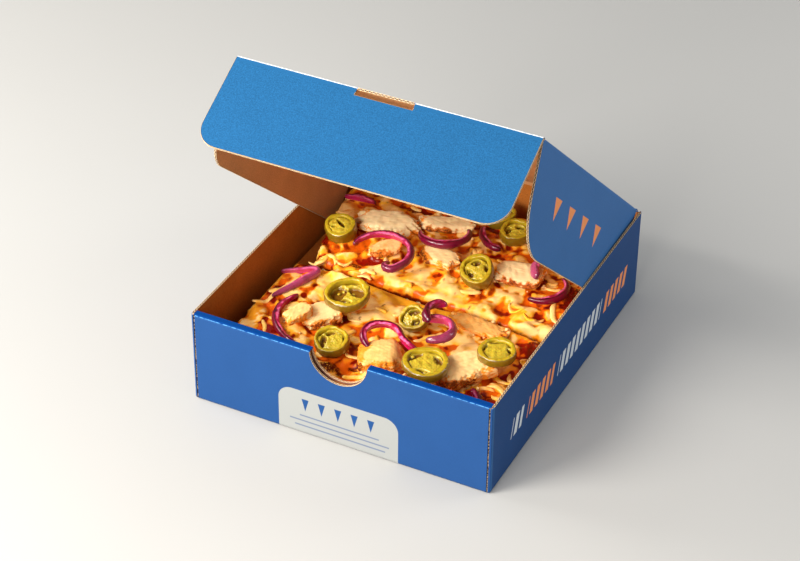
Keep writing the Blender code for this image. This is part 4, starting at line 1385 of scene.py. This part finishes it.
# Chilli rings: name, half wall as a share of the radius, how high the core stands as a share of the
# thickness, seed, and the core's chambers: place x, y, half length and width as shares, and turn
CHILLI_LOOKS = (
    ("back_left", 0.15, 0.40, 1, ((0.04, 0.09, 0.42, 0.14, -33), (-0.33, -0.30, 0.16, 0.10, 26))),
    ("back_middle", 0.13, 0.30, 2, ((-0.18, 0.38, 0.27, 0.22, 26), (-0.27, -0.36, 0.34, 0.15, -40),
                                    (0.55, 0.25, 0.24, 0.14, -54))),
    ("back_right", 0.14, 0.25, 3, ((0.2, 0.3, 0.3, 0.2, 20), (-0.4, -0.2, 0.3, 0.2, 80))),
    ("back_corner", 0.14, 0.25, 4, ((0.0, 0.4, 0.3, 0.2, 0), (0.1, -0.4, 0.3, 0.2, 0))),
    ("centre_left", 0.11, 0.10, 5, ((-0.38, -0.06, 0.50, 0.36, 100), (0.38, 0.30, 0.46, 0.32, -10),
                                    (0.10, -0.50, 0.30, 0.16, 10))),
    ("centre", 0.14, 0.20, 6, ((-0.05, 0.40, 0.40, 0.22, 30), (0.32, -0.30, 0.36, 0.22, 60))),
    ("notch", 0.11, 0.26, 7, ((-0.40, -0.30, 0.50, 0.20, 100), (-0.22, 0.42, 0.30, 0.18, 46),
                              (0.74, 0.22, 0.40, 0.11, -54))),
    ("front_middle", 0.12, 0.28, 8, ((-0.56, 0.18, 0.40, 0.16, 62), (0.46, 0.34, 0.34, 0.18, -34),
                                     (0.10, -0.60, 0.30, 0.12, 20))),
    ("front_right", 0.12, 0.28, 9, ((-0.70, -0.14, 0.36, 0.13, 86), (0.66, 0.18, 0.30, 0.11, -44),
                                    (-0.26, 0.56, 0.36, 0.12, 26))),
)


def ring_radius(a, radius, seed):
    """The outline of a chilli slice: r = R (1 + 4% cos 2a + 3% cos 3a), with drawn phases."""
    return radius * (1 + 0.04 * np.cos(2 * a + seed) + 0.03 * np.cos(3 * a - 2 * seed))


def ring_wall(radius, thick, half_wall, seed, rows=150, columns=44):
    """The wall of a chilli ring: a rounded rectangular section carried round an uneven circle.

    The section is (|cos b|^0.5, |sin b|^0.5) with their signs, half a wall wide and half the
    ring thick, the outer skin bulges between its two cut faces, and the slice is a little thicker
    on one side than on the other.
    """
    a = circle(rows)[:, None]
    b = circle(columns)[None, :]
    outer = ring_radius(a, radius, seed)
    wall = radius * (half_wall + 0.02 * np.sin(3 * a + seed) + 0.015 * np.sin(5 * a + 2 * seed))
    across, up = rounded_square(b, 0.5)
    r = outer - wall + wall * across + 0.04 * radius * (1 - up ** 2) * (across > 0)
    z = up * thick / 2 * (1 + 0.07 * np.sin(a + seed) + 0.03 * np.sin(2 * a + 2 * seed))
    places = np.stack([r * np.cos(a), r * np.sin(a), z + 0 * a], -1)
    places += (0.16 * MM * waves(places, 4 * MM, 200 + seed))[..., None]
    skin = smooth(across, 0.35, 0.9) * (1 - smooth(np.abs(up), 0.86, 0.99))
    inner = smooth(-across, 0.2, 0.8) * smooth(-up, -0.9, 0.3)
    skin, inner = (np.broadcast_to(field, z.shape).ravel() for field in (skin, inner))
    faces = [grid_quads(rows, columns, True, True)[:, ::-1], np.empty((0, 3), int)]
    # The wall's inner side low down is marked deep: painted shade.
    return places.reshape(-1, 3), faces, {"skin": skin, "core": 0 * skin, "deep": 0.6 * inner}


def ring_core(radius, thick, level, chambers, seed, rows=44, columns=96):
    """The pith of a chilli ring: one lumpy disc inside the wall, hollowed by its chambers.

    At place (x, y) in shares of the radius its top stands at T (level + 0.10 (1 - 2 r2) - D), where
    D = 0.45 smooth(1.3 - e) in a chamber with e = (u / a)2 + (v / b)2, and a groove runs round it
    beside the wall. Waves make it uneven. Its underside is a ring and a point low down.
    """
    r = np.linspace(0, 0.88, rows + 1)[1:, None]
    a = circle(columns)[None, :]
    x, y = r * np.cos(a), r * np.sin(a)
    places = np.stack([x, y], -1)
    wobble = 0.14 * waves(places, 0.5, 300 + seed) + 0.08 * waves(places, 0.2, 310 + seed)
    hollow = 0.6 * smooth(r, 0.62, 0.80) * smooth(waves(places, 0.9, 320 + seed), -0.8, 0.6)
    for cx, cy, half_long, half_wide, turn in chambers:
        u, v = spun(x - cx, y - cy, -math.radians(turn))
        e = np.hypot(u / half_long, v / half_wide) ** 2
        hollow = np.maximum(hollow, smooth(1.3 - e + wobble, 0.0, 0.75))
    z = thick * (level + 0.10 * (1 - 2 * r * r) - 0.45 * hollow)
    z = z + (0.22 * MM * waves(places, 0.34, 330 + seed)
             + 0.10 * MM * waves(places, 0.14, 340 + seed))
    size = ring_radius(a, radius, seed)
    top = np.stack([x * size, y * size, z], -1).reshape(-1, 3)
    rim = np.stack([0.86 * size * np.cos(a), 0.86 * size * np.sin(a), -0.42 * thick + 0 * a], -1)
    points = np.concatenate([[[0, 0, z[0].mean()]], top, rim.reshape(-1, 3),
                             [[0, 0, -0.42 * thick]]])
    deep = np.concatenate([[hollow[0].mean()], hollow.ravel(), np.ones(columns + 1)])
    faces = [part[:, ::-1] for part in closed_faces(rows + 1, columns)]
    return points, faces, {"skin": 0 * deep, "core": 0 * deep + 1, "deep": deep}


def ring_seeds(radius, thick, level, chambers, seed):
    """Two seeds at each chamber's rim: flat drops 2.8 x 2.0 x 1.0 mm, lying at drawn angles."""
    draw = np.random.default_rng(400 + seed)
    shape, faces = ball(6, 10)
    shape = shape * np.array([1.4, 1.0, 0.5]) * MM
    middles = np.repeat(np.array(chambers)[:, :2] * radius, 2, axis=0)
    count = len(middles)
    middles = middles * 0.8 + draw.normal(size=(count, 2)) * 0.10 * radius
    turn, tilt = draw.uniform(0, math.pi, (count, 1)), draw.uniform(-0.6, 0.6, (count, 1))
    y, z = spun(shape[None, :, 1], shape[None, :, 2], tilt)
    x, y = spun(shape[:, 0], y, turn)
    z = z + (level - draw.uniform(0.18, 0.34, (count, 1))) * thick
    places = np.stack([x + middles[:, :1], y + middles[:, 1:], z], -1)
    none = np.zeros(count * len(shape))
    fields = {"skin": none, "core": none + 1, "deep": none + 0.1}
    return places.reshape(-1, 3), repeated(faces, count, len(shape)), fields


def chilli_finish(toppings):
    """Chilli: glossy olive skin, yellower cut flesh, bright pith and seeds, and hollows painted
    dark as shade.
    """
    finish = Finish("chilli", Specular_IOR_Level=0.5, Subsurface_Weight=0.15,
                    Subsurface_Scale=0.002, Coat_Roughness=0.12)
    fine, broad = finish.noise(1.2 * MM, 2), finish.noise(6 * MM, 2)
    skin = (broad * 0.6 + fine * 0.4).tones(toppings.chilli_skin, 0.45, 1.35)
    flesh = (fine * 0.5 + broad * 0.5).tones(toppings.chilli_flesh, 0.62, 1.25)
    core = ((fine * 0.6 + broad * 0.4 - 0.5) * 1.8 + 0.5).tones(toppings.chilli_core, 0.55, 1.25)
    shade = finish.field("skin").above(0.5, 0.7).mix(flesh, skin)
    shade = finish.field("core").above(0.5, 0.6).mix(shade, core)
    # Chambers and the inner wall low down painted dark: painted shade.
    deep = (finish.field("deep") + (fine - 0.5) * 0.3).above(0.55, 0.8) * 0.9
    shade = deep.mix(shade, toppings.chilli_hollow)
    finish.bump(fine, 0.2 * MM, 0.3)
    return finish.paint(Base_Color=shade, Roughness=0.3, Coat_Weight=finish.field("skin") * 0.5)


class PIZZABOX_OT_chillies(bpy.types.Operator):
    """Add the chilli rings with their ribs, pith and seeds."""

    bl_idname = "pizzabox.chillies"
    bl_label = "Chilli rings"

    def execute(self, context):
        material = chilli_finish(context.scene.pizza_toppings)
        for name, half_wall, level, seed, chambers in CHILLI_LOOKS:
            node = "chilli_" + name
            middle, axes, half = node_axes(node)
            radius, thick, up = (half[0] + half[1]) / 2 * 0.985, 2 * half[2], axes[2]
            east = np.array([1, 0, 0]) - up * up[0]
            east /= np.linalg.norm(east)
            turn = np.stack([east, np.cross(up, east), up])
            points, faces, fields = joined((ring_wall(radius, thick, half_wall, seed),
                                            ring_core(radius, thick, level, chambers, seed),
                                            ring_seeds(radius, thick, level, chambers, seed)))
            make_piece("sliced_" + node, middle + points @ turn, faces, material, fields,
                       [node])
        return {"FINISHED"}


# Onion strands: name, heading, half height, runs of (length, turn), roll, how far the ends sag, and
# how pale it is, or below 0 how dark
ONION_STRANDS = (
    ("back_arc", 82, 3.0, ((86.0, -207), (19.0, -200)), 22, 3.0, 0.1),
    ("back_bowl", 282, 3.0, ((70.0, 214),), 15, 3.0, 0.0),
    ("back_hook", 272, 2.8, ((36.0, 90),), 12, 0.5, 0.0),
    ("right_bowl", -10, 2.9, ((52.0, 160),), 25, 0.5, 0.0),
    ("left_arc", 242, 2.8, ((68.0, 108),), 18, 0.5, 0.0),
    ("left_tip", 30, 2.7, ((23.0, 5), (9.0, -140), (42.0, -15)), 30, 0.5, 0.4),
    ("curl_left", 165, 3.0, ((50.0, -215), (24.0, 45)), 24, 3.5, 0.0),
    ("curl_right", -5, 3.5, ((45.0, 200), (12.0, 20)), 34, 2.0, 0.25),
    ("curl_dark", 150, 3.3, ((18.0, -60), (16.0, -110)), 35, 0.5, -0.5),
    ("back_left", 10, 2.6, ((26.0, -10),), 20, 0.3, 0.1),
    ("petal", 250, 4.0, ((22.0, 75),), 34, 0.5, 0.5),
    ("front_bit", 100, 3.0, ((15.0, 75),), 20, 0.3, -0.7),
)
STRAND_HALF_WIDTH = 2.25 * MM


def strand_line(heading, runs):
    """The middle line of a strand: a chain of arcs, smoothed where one run meets the next."""
    step = 0.6 * MM
    turns = np.concatenate([np.full(max(2, round(run * MM / step)), math.radians(turn))
                            / max(2, round(run * MM / step)) for run, turn in runs])
    kernel = np.hanning(9) / np.hanning(9).sum()
    turns = np.convolve(np.pad(turns, 4, mode="edge"), kernel, mode="valid")
    way = math.radians(heading) + np.cumsum(turns) - turns / 2
    moves = np.stack([np.cos(way), np.sin(way)], -1) * step
    return np.concatenate([[[0, 0]], np.cumsum(moves, axis=0)]), np.append(way, way[-1])


def onion_strand(node, heading, half_height, runs, roll, sag, pale, columns=36):
    """One onion strand laid where its solid lies.

    Its section is a curved flat bar: with angle b round it, across = w cos b |cos b|^-0.55 and
    up = h sin b |sin b|^-0.55, moved aside by 0.45 w (up / h)^2, and it tapers at both tips. It
    rolls and sways gently along its line.
    """
    line, way = strand_line(heading, runs)
    u = np.linspace(0, 1, len(line))[:, None]
    b = circle(columns)[None, :]
    seed = int(abs(heading)) + len(line)
    tip = 0.15 + 0.85 * np.sin(math.pi * np.clip(u, 0.001, 0.999)) ** 0.3
    uneven = 1 + 0.09 * np.sin(9 * u + seed) + 0.05 * np.sin(23 * u + 2 * seed)
    wide, high = STRAND_HALF_WIDTH * tip * uneven, half_height * MM * tip * uneven
    flat, rise = rounded_square(b, 0.45)
    bend = math.copysign(1, sum(turn for _, turn in runs))
    across = wide * flat + 0.45 * wide * rise ** 2 * bend - 0.2 * wide * bend
    up = high * rise
    turn = np.radians(roll) * (0.6 + 0.5 * np.sin(4 * u + seed)) * -bend
    across, up = spun(across, up, turn)
    side = np.stack([-np.sin(way), np.cos(way)], -1)[:, None]
    rings = np.empty((len(line), columns, 3))
    rings[..., :2] = line[:, None] + side * across[..., None]
    droop = sag * MM * (np.clip(np.abs(2 * u - 1), 0, 1) ** 3 - 0.25)
    rings[..., 2] = up - droop + 0.4 * MM * np.sin(7 * u + seed)
    rings += (0.07 * MM * waves(rings, 2.2 * MM, 700 + seed))[..., None]
    low, high_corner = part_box(node)
    places, faces, fields = strip(rings, outer=-bend * flat, cut=smooth(np.abs(rise), 0.80, 0.97),
                                  tip=np.abs(2 * u - 1) ** 7, pale=pale)
    middle = (np.array(low) + np.array(high_corner)) / 2
    places[:, :2] += middle[:2] - (places[:, :2].min(0) + places[:, :2].max(0)) / 2
    places[:, 2] += middle[2]
    return places, faces, fields


def onion_finish(toppings):
    """Onion: deep magenta outside, brighter inside, pink cut faces with a dark outer rim."""
    finish = Finish("onion", Specular_IOR_Level=0.25, Subsurface_Weight=0.15,
                    Subsurface_Scale=0.0015, Coat_Roughness=0.06, Coat_Weight=0.6)
    fine, broad = finish.noise(1.0 * MM, 2), finish.noise(9 * MM, 2)
    bright = tinted(toppings.onion_skin, 1.5)
    outer = finish.field("outer") + (fine - 0.5) * 0.4 + (broad - 0.5) * 1.3
    shade = outer.above(0.0, 1.0).mix(bright, tinted(toppings.onion_skin, 0.5))
    pink = outer.inside(-0.50, 0.20, 0.35) * broad.above(0.46, 0.16)
    face = pink.mix(tinted(toppings.onion_skin, 1.1), toppings.onion_flesh)
    face = outer.above(0.50, 0.3).mix(face, toppings.onion_tip)
    shade = finish.field("cut").mix(shade, face)
    shade = (finish.field("pale") * (0.4 + fine)).mix(shade, tinted(toppings.onion_flesh, 0.85))
    dark = (finish.field("tip") * 0.8).most(finish.field("pale") * -1)
    shade = dark.mix(shade, toppings.onion_tip)
    shade = (broad.above(0.62, 0.2) * 0.4).mix(shade, toppings.onion_tip)
    finish.bump(fine, 0.25 * MM, 0.5)
    return finish.paint(Base_Color=shade, Roughness=0.3)


class PIZZABOX_OT_onions(bpy.types.Operator):
    """Add the red onion strands."""

    bl_idname = "pizzabox.onions"
    bl_label = "Onion strands"

    def execute(self, context):
        material = onion_finish(context.scene.pizza_toppings)
        for name, *shape in ONION_STRANDS:
            points, faces, fields = onion_strand("onion_" + name, *shape)
            make_piece("sliced_onion_" + name, points, faces, material, fields,
                       ["onion_" + name])
        return {"FINISHED"}


# ---- loose shreds and herbs ----

# Thick shreds that keep their shape: place, turn, length, width, bend, in millimetres and degrees
THICK_SHREDS = (
    (92, -69, -28, 22, 4.4, 6), (100, -80, -20, 20, 4.2, -5), (101, -66, -35, 16, 3.8, 4),
    (104, -90, 10, 16, 4.2, 5), (88, -84, 35, 15, 3.8, -4), (97, 16, -62, 22, 4.4, 3),
    (88, 2, 20, 16, 4.0, 5), (-84, -2, 55, 17, 4.0, 6), (-78, 6, -20, 15, 4.0, -5),
    (-68, 2, 20, 14, 3.6, 6), (-98, -62, 62, 20, 4.0, 4), (-34, -52, -40, 16, 3.6, 7),
    (104, -47, -40, 15, 3.6, 3), (70, 6, -15, 15, 3.8, 5), (-97, 62, 30, 16, 4.0, 5),
)


def scattered(draw, count, inset):
    """Drawn places over the whole pizza that lie at least inset inside its outer edges."""
    low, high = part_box("front_cheese")[0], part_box("back_cheese")[1]
    places = np.column_stack([draw.uniform(low.x, high.x, count),
                              draw.uniform(low.y, high.y, count)])
    left = np.where(places[:, 1] > CUT_PLACE, back_left_edge(places[:, 1]), low.x)
    inside = ((places[:, 0] > left + inset) & (places[:, 0] < high.x - inset)
              & (places[:, 1] > low.y + inset) & (places[:, 1] < high.y - inset))
    return places[inside]


def add_shreds(material):
    """Shreds of cheese that kept their shape: tapered bent rods that follow the relief.

    With u from -1 to 1 along and b round a shred, its line is (a u, k u2) on the pizza and its
    section an ellipse w (1 - u^6)^(1/2) wide and 0.55 of that high, half of it above the relief.
    """
    draw = np.random.default_rng(500)
    rows, columns, few = 16, 10, 60
    hand = np.array(THICK_SHREDS, float)
    spot = scattered(draw, few, 10 * MM) / MM
    few = len(spot)
    loose = np.column_stack([spot, draw.uniform(-90, 90, few), draw.uniform(8, 17, few),
                             draw.uniform(2.8, 4.4, few), draw.uniform(-2.5, 2.5, few)])
    on_bare = relief_at("bare", loose[:, 0] * MM, loose[:, 1] * MM) > 0.3
    loose = loose[~on_bare]
    x, y, turn, size, wide, bend = np.concatenate([hand, loose]).T[:, :, None, None]
    u = np.linspace(-0.97, 0.97, rows)[None, :, None]
    b = circle(columns)[None, None, :]
    turn = np.radians(turn)
    half = wide * 0.5 * np.sqrt(1 - np.abs(u) ** 6)
    along = size / 2 * u
    middle = bend * u * u + 0 * b
    line_x, line_y = spun(along, middle, turn)
    edge_x, edge_y = spun(along, middle + half * np.cos(b), turn)
    z = relief_at("height", (x + line_x) * MM, (y + line_y) * MM)
    z += (half * 0.55 * np.sin(b) - wide * 0.02) * MM
    rings = np.stack([(x + edge_x) * MM, (y + edge_y) * MM, z], -1)
    count = len(rings)
    rings = rings.reshape(count, -1, 3)
    points = np.concatenate([rings[:, :columns].mean(1, keepdims=True), rings,
                             rings[:, -columns:].mean(1, keepdims=True)], 1)
    thick = np.repeat(draw.uniform(0.45, 1.15, count), rows * columns + 2)
    thick[:len(hand) * (rows * columns + 2)] = 0.75
    none = np.zeros(len(thick))
    fields = {"thickness": thick, "red": none, "toast": none, "bare": none, "rim": none}
    return make_piece("cheese_shreds", points, repeated(closed_faces(rows, columns), count,
                      rows * columns + 2), material, fields)


def add_herbs(toppings):
    """Dried herb flakes, 0.5 to 1.5 mm long: flattened balls half as wide as long, with a curl."""
    draw = np.random.default_rng(600)
    spots = scattered(draw, toppings.herb_count, 3 * MM)
    count = len(spots)
    flake, faces = ball(3, 8)
    x, y = spots[:, :1], spots[:, 1:]
    size = draw.uniform(0.5, 1.5, count)[:, None] * MM / 2
    turn = draw.uniform(0, 2 * math.pi, count)[:, None]
    a, c, up = (flake[None, :, axis] * size * flat for axis, flat in enumerate((1, 0.5, 0.15)))
    a, c = spun(a, c, turn)
    x, y = x + a, y + c
    z = relief_at("height", x, y) + 0.12 * MM + up + size * 0.35 * (1 - flake[:, 1] ** 2)
    points = np.stack([x, y, z], -1)
    finish = Finish("herbs", Roughness=0.8)
    shade = finish.noise(2 * MM, 2).tones(toppings.herb, 0.5, 1.6)
    return make_piece("herb_flakes", points, repeated(faces, count, len(flake)),
                      finish.paint(Base_Color=shade))


def add_crumbs(toppings):
    """Crumbs of chicken, 1 to 5 mm, lying round the chunks: small balls with waves on them."""
    draw = np.random.default_rng(650)
    crumb, faces = ball(7, 10)
    middles, sizes, each = [], [], 9
    for name, *_ in CHICKEN_LOOKS:
        low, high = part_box("chicken_" + name)
        turn = draw.uniform(0, 2 * math.pi, each)
        reach = draw.uniform(0.85, 1.25, each)
        middles.append(np.column_stack(
            [(low.x + high.x) / 2 + np.cos(turn) * reach * (high.x - low.x) / 2,
             (low.y + high.y) / 2 + np.sin(turn) * reach * (high.y - low.y) / 2]))
        sizes.append(draw.uniform(0.6, 2.0, (each, 1)) ** 1.2 * draw.uniform(0.6, 1.2, (each, 3)))
    middles, sizes = np.concatenate(middles), np.concatenate(sizes) * MM
    inside = np.abs(middles[:, 0]) < 0.100
    middles, sizes = middles[inside], sizes[inside]
    z = relief_at("height", middles[:, 0], middles[:, 1]) + sizes[:, 2] * 0.35
    shapes = crumb[None] * sizes[:, None]
    lumps = waves(shapes * 3 + middles[:, None, [0, 1, 0]] * 40, 6 * MM, 651)
    shapes *= 1 + 0.25 * lumps[..., None]
    points = shapes + np.column_stack([middles, z])[:, None]
    none = np.zeros(points.shape[:2])
    fields = {"fibre": none, "low": none + np.clip(0.35 - crumb[:, 2] * 0.6, 0, 1), "skin": none}
    return make_piece("chicken_crumbs", points, repeated(faces, len(points), len(crumb)),
                      chicken_finish("crumbs", 0.1, 0.5, 0.4, toppings), fields)


class PIZZABOX_OT_scatter(bpy.types.Operator):
    """Add the loose cheese shreds, the chicken crumbs and the herb flakes."""

    bl_idname = "pizzabox.scatter"
    bl_label = "Shreds and herbs"

    def execute(self, context):
        cheese = context.scene.pizza_cheese
        add_shreds(cheese_finish(cheese, "shreds"))
        add_crumbs(context.scene.pizza_toppings)
        add_herbs(context.scene.pizza_toppings)
        return {"FINISHED"}


# ---- the stage ----

class PIZZABOX_OT_stage(bpy.types.Operator):
    """Add the floor, the lights and the camera."""

    bl_idname = "pizzabox.stage"
    bl_label = "Stage"

    def execute(self, context):
        stage = context.scene.pizza_stage
        self.add_floor(stage)
        self.add_lights(context, stage)
        self.add_camera(context, stage)
        return {"FINISHED"}

    @staticmethod
    def add_floor(stage):
        """A wide level floor just under the box, flat all over."""
        finish = Finish("floor", Roughness=0.75)
        cloud = finish.noise(0.25, 3)
        shade = cloud.mix(tinted(stage.floor, 0.97), stage.floor)
        reach, gap = 4, 0.2 * MM
        u = np.linspace(-reach, reach, 9)
        places = np.stack(np.meshgrid(u, u, [-gap]), -1).reshape(-1, 3)
        floor = make_piece("floor", places, grid_quads(len(u), len(u)),
                           finish.paint(Base_Color=shade), body=None)

    @staticmethod
    def add_lights(context, stage):
        """A wide main light from the front left, three smaller ones, and an even pale sky."""
        lights = (("key", (-0.80, -1.10, 0.95), 0.85, stage.key_power, (1.0, 0.96, 0.90)),
                  ("front", (0.0, -1.55, 0.62), 0.9, stage.front_power, (1.0, 0.96, 0.91)),
                  ("left", (-1.45, -0.15, 0.75), 0.7, stage.fill_power, (1.0, 0.97, 0.92)),
                  ("back", (0.95, 0.65, 0.60), 0.6, stage.back_power, (0.95, 0.97, 1.0)))
        middle = np.array([0, 0, 0.06])
        for name, place, size, power, shade in lights:
            light = bpy.data.lights.new(name, "AREA")
            light.shape = "DISK"
            light.size = size
            light.energy = power
            light.color = shade
            lamp = bpy.data.objects.new(name, light)
            lamp.matrix_world = facing(np.array(place), np.array(place) - middle, 0)
            context.scene.collection.objects.link(lamp)
        world = bpy.data.worlds.new("sky")
        world.use_nodes = True
        back = world.node_tree.nodes["Background"]
        back.inputs["Color"].default_value = (0.93, 0.96, 1.0, 1)
        back.inputs["Strength"].default_value = stage.sky
        context.scene.world = world
        context.scene.view_settings.view_transform = "Standard"

    @staticmethod
    def add_camera(context, stage):
        """The camera looks at the middle of the box from its front right corner, above it."""
        a, e = stage.azimuth, stage.elevation
        back = np.array([math.sin(a) * math.cos(e), -math.cos(a) * math.cos(e), math.sin(e)])
        pose = np.array(facing(np.zeros(3), back, stage.roll))
        aside = pose[:3, 0] * stage.aside + pose[:3, 1] * stage.raised
        camera = bpy.data.cameras.new("camera")
        camera.lens = stage.lens
        camera.sensor_width = 36
        camera.clip_start, camera.clip_end = 0.05, 20
        eye = bpy.data.objects.new("camera", camera)
        eye.matrix_world = facing(back * stage.distance + aside, back, stage.roll)
        context.scene.collection.objects.link(eye)
        context.scene.camera = eye


def facing(place, back, roll):
    """The matrix of a thing at a place whose +Z points along back, turned about it by roll."""
    back = back / np.linalg.norm(back)
    right = np.cross([0, 0, 1], back)
    right /= np.linalg.norm(right)
    up = np.cross(back, right)
    c, s = math.cos(roll), math.sin(roll)
    matrix = np.eye(4)
    matrix[:3, 0] = c * right + s * up
    matrix[:3, 1] = c * up - s * right
    matrix[:3, 2] = back
    matrix[:3, 3] = place
    return Matrix(matrix)


class PIZZABOX_PT_panel(bpy.types.Panel):
    """Buttons for each group of pieces, and their settings."""

    bl_label = "Pizza box"
    bl_idname = "PIZZABOX_PT_panel"
    bl_space_type = "VIEW_3D"
    bl_region_type = "UI"
    bl_category = "Pizza box"

    def draw(self, context):
        for operator in OPERATORS:
            self.layout.operator(operator.bl_idname)
        for group in SETTINGS:
            box = self.layout.box()
            box.label(text=group.__name__)
            for name in group.__annotations__:
                box.prop(getattr(context.scene, SETTINGS[group]), name)


OPERATORS = (PIZZABOX_OT_board, PIZZABOX_OT_edges, PIZZABOX_OT_creases, PIZZABOX_OT_cheese,
             PIZZABOX_OT_chicken, PIZZABOX_OT_chillies, PIZZABOX_OT_onions, PIZZABOX_OT_scatter,
             PIZZABOX_OT_stage)
SETTINGS = {BoardSettings: "pizza_board", CheeseSettings: "pizza_cheese",
            ToppingSettings: "pizza_toppings", StageSettings: "pizza_stage"}


def register():
    for group, name in SETTINGS.items():
        bpy.utils.register_class(group)
        setattr(bpy.types.Scene, name, bpy.props.PointerProperty(type=group))
    for kind in (*OPERATORS, PIZZABOX_PT_panel):
        bpy.utils.register_class(kind)


def unregister():
    for kind in (PIZZABOX_PT_panel, *reversed(OPERATORS)):
        bpy.utils.unregister_class(kind)
    for group, name in SETTINGS.items():
        delattr(bpy.types.Scene, name)
        bpy.utils.unregister_class(group)


def main():
    register()
    for operator in OPERATORS:
        group, name = operator.bl_idname.split(".")
        getattr(getattr(bpy.ops, group), name)()


if __name__ == "__main__":
    main()
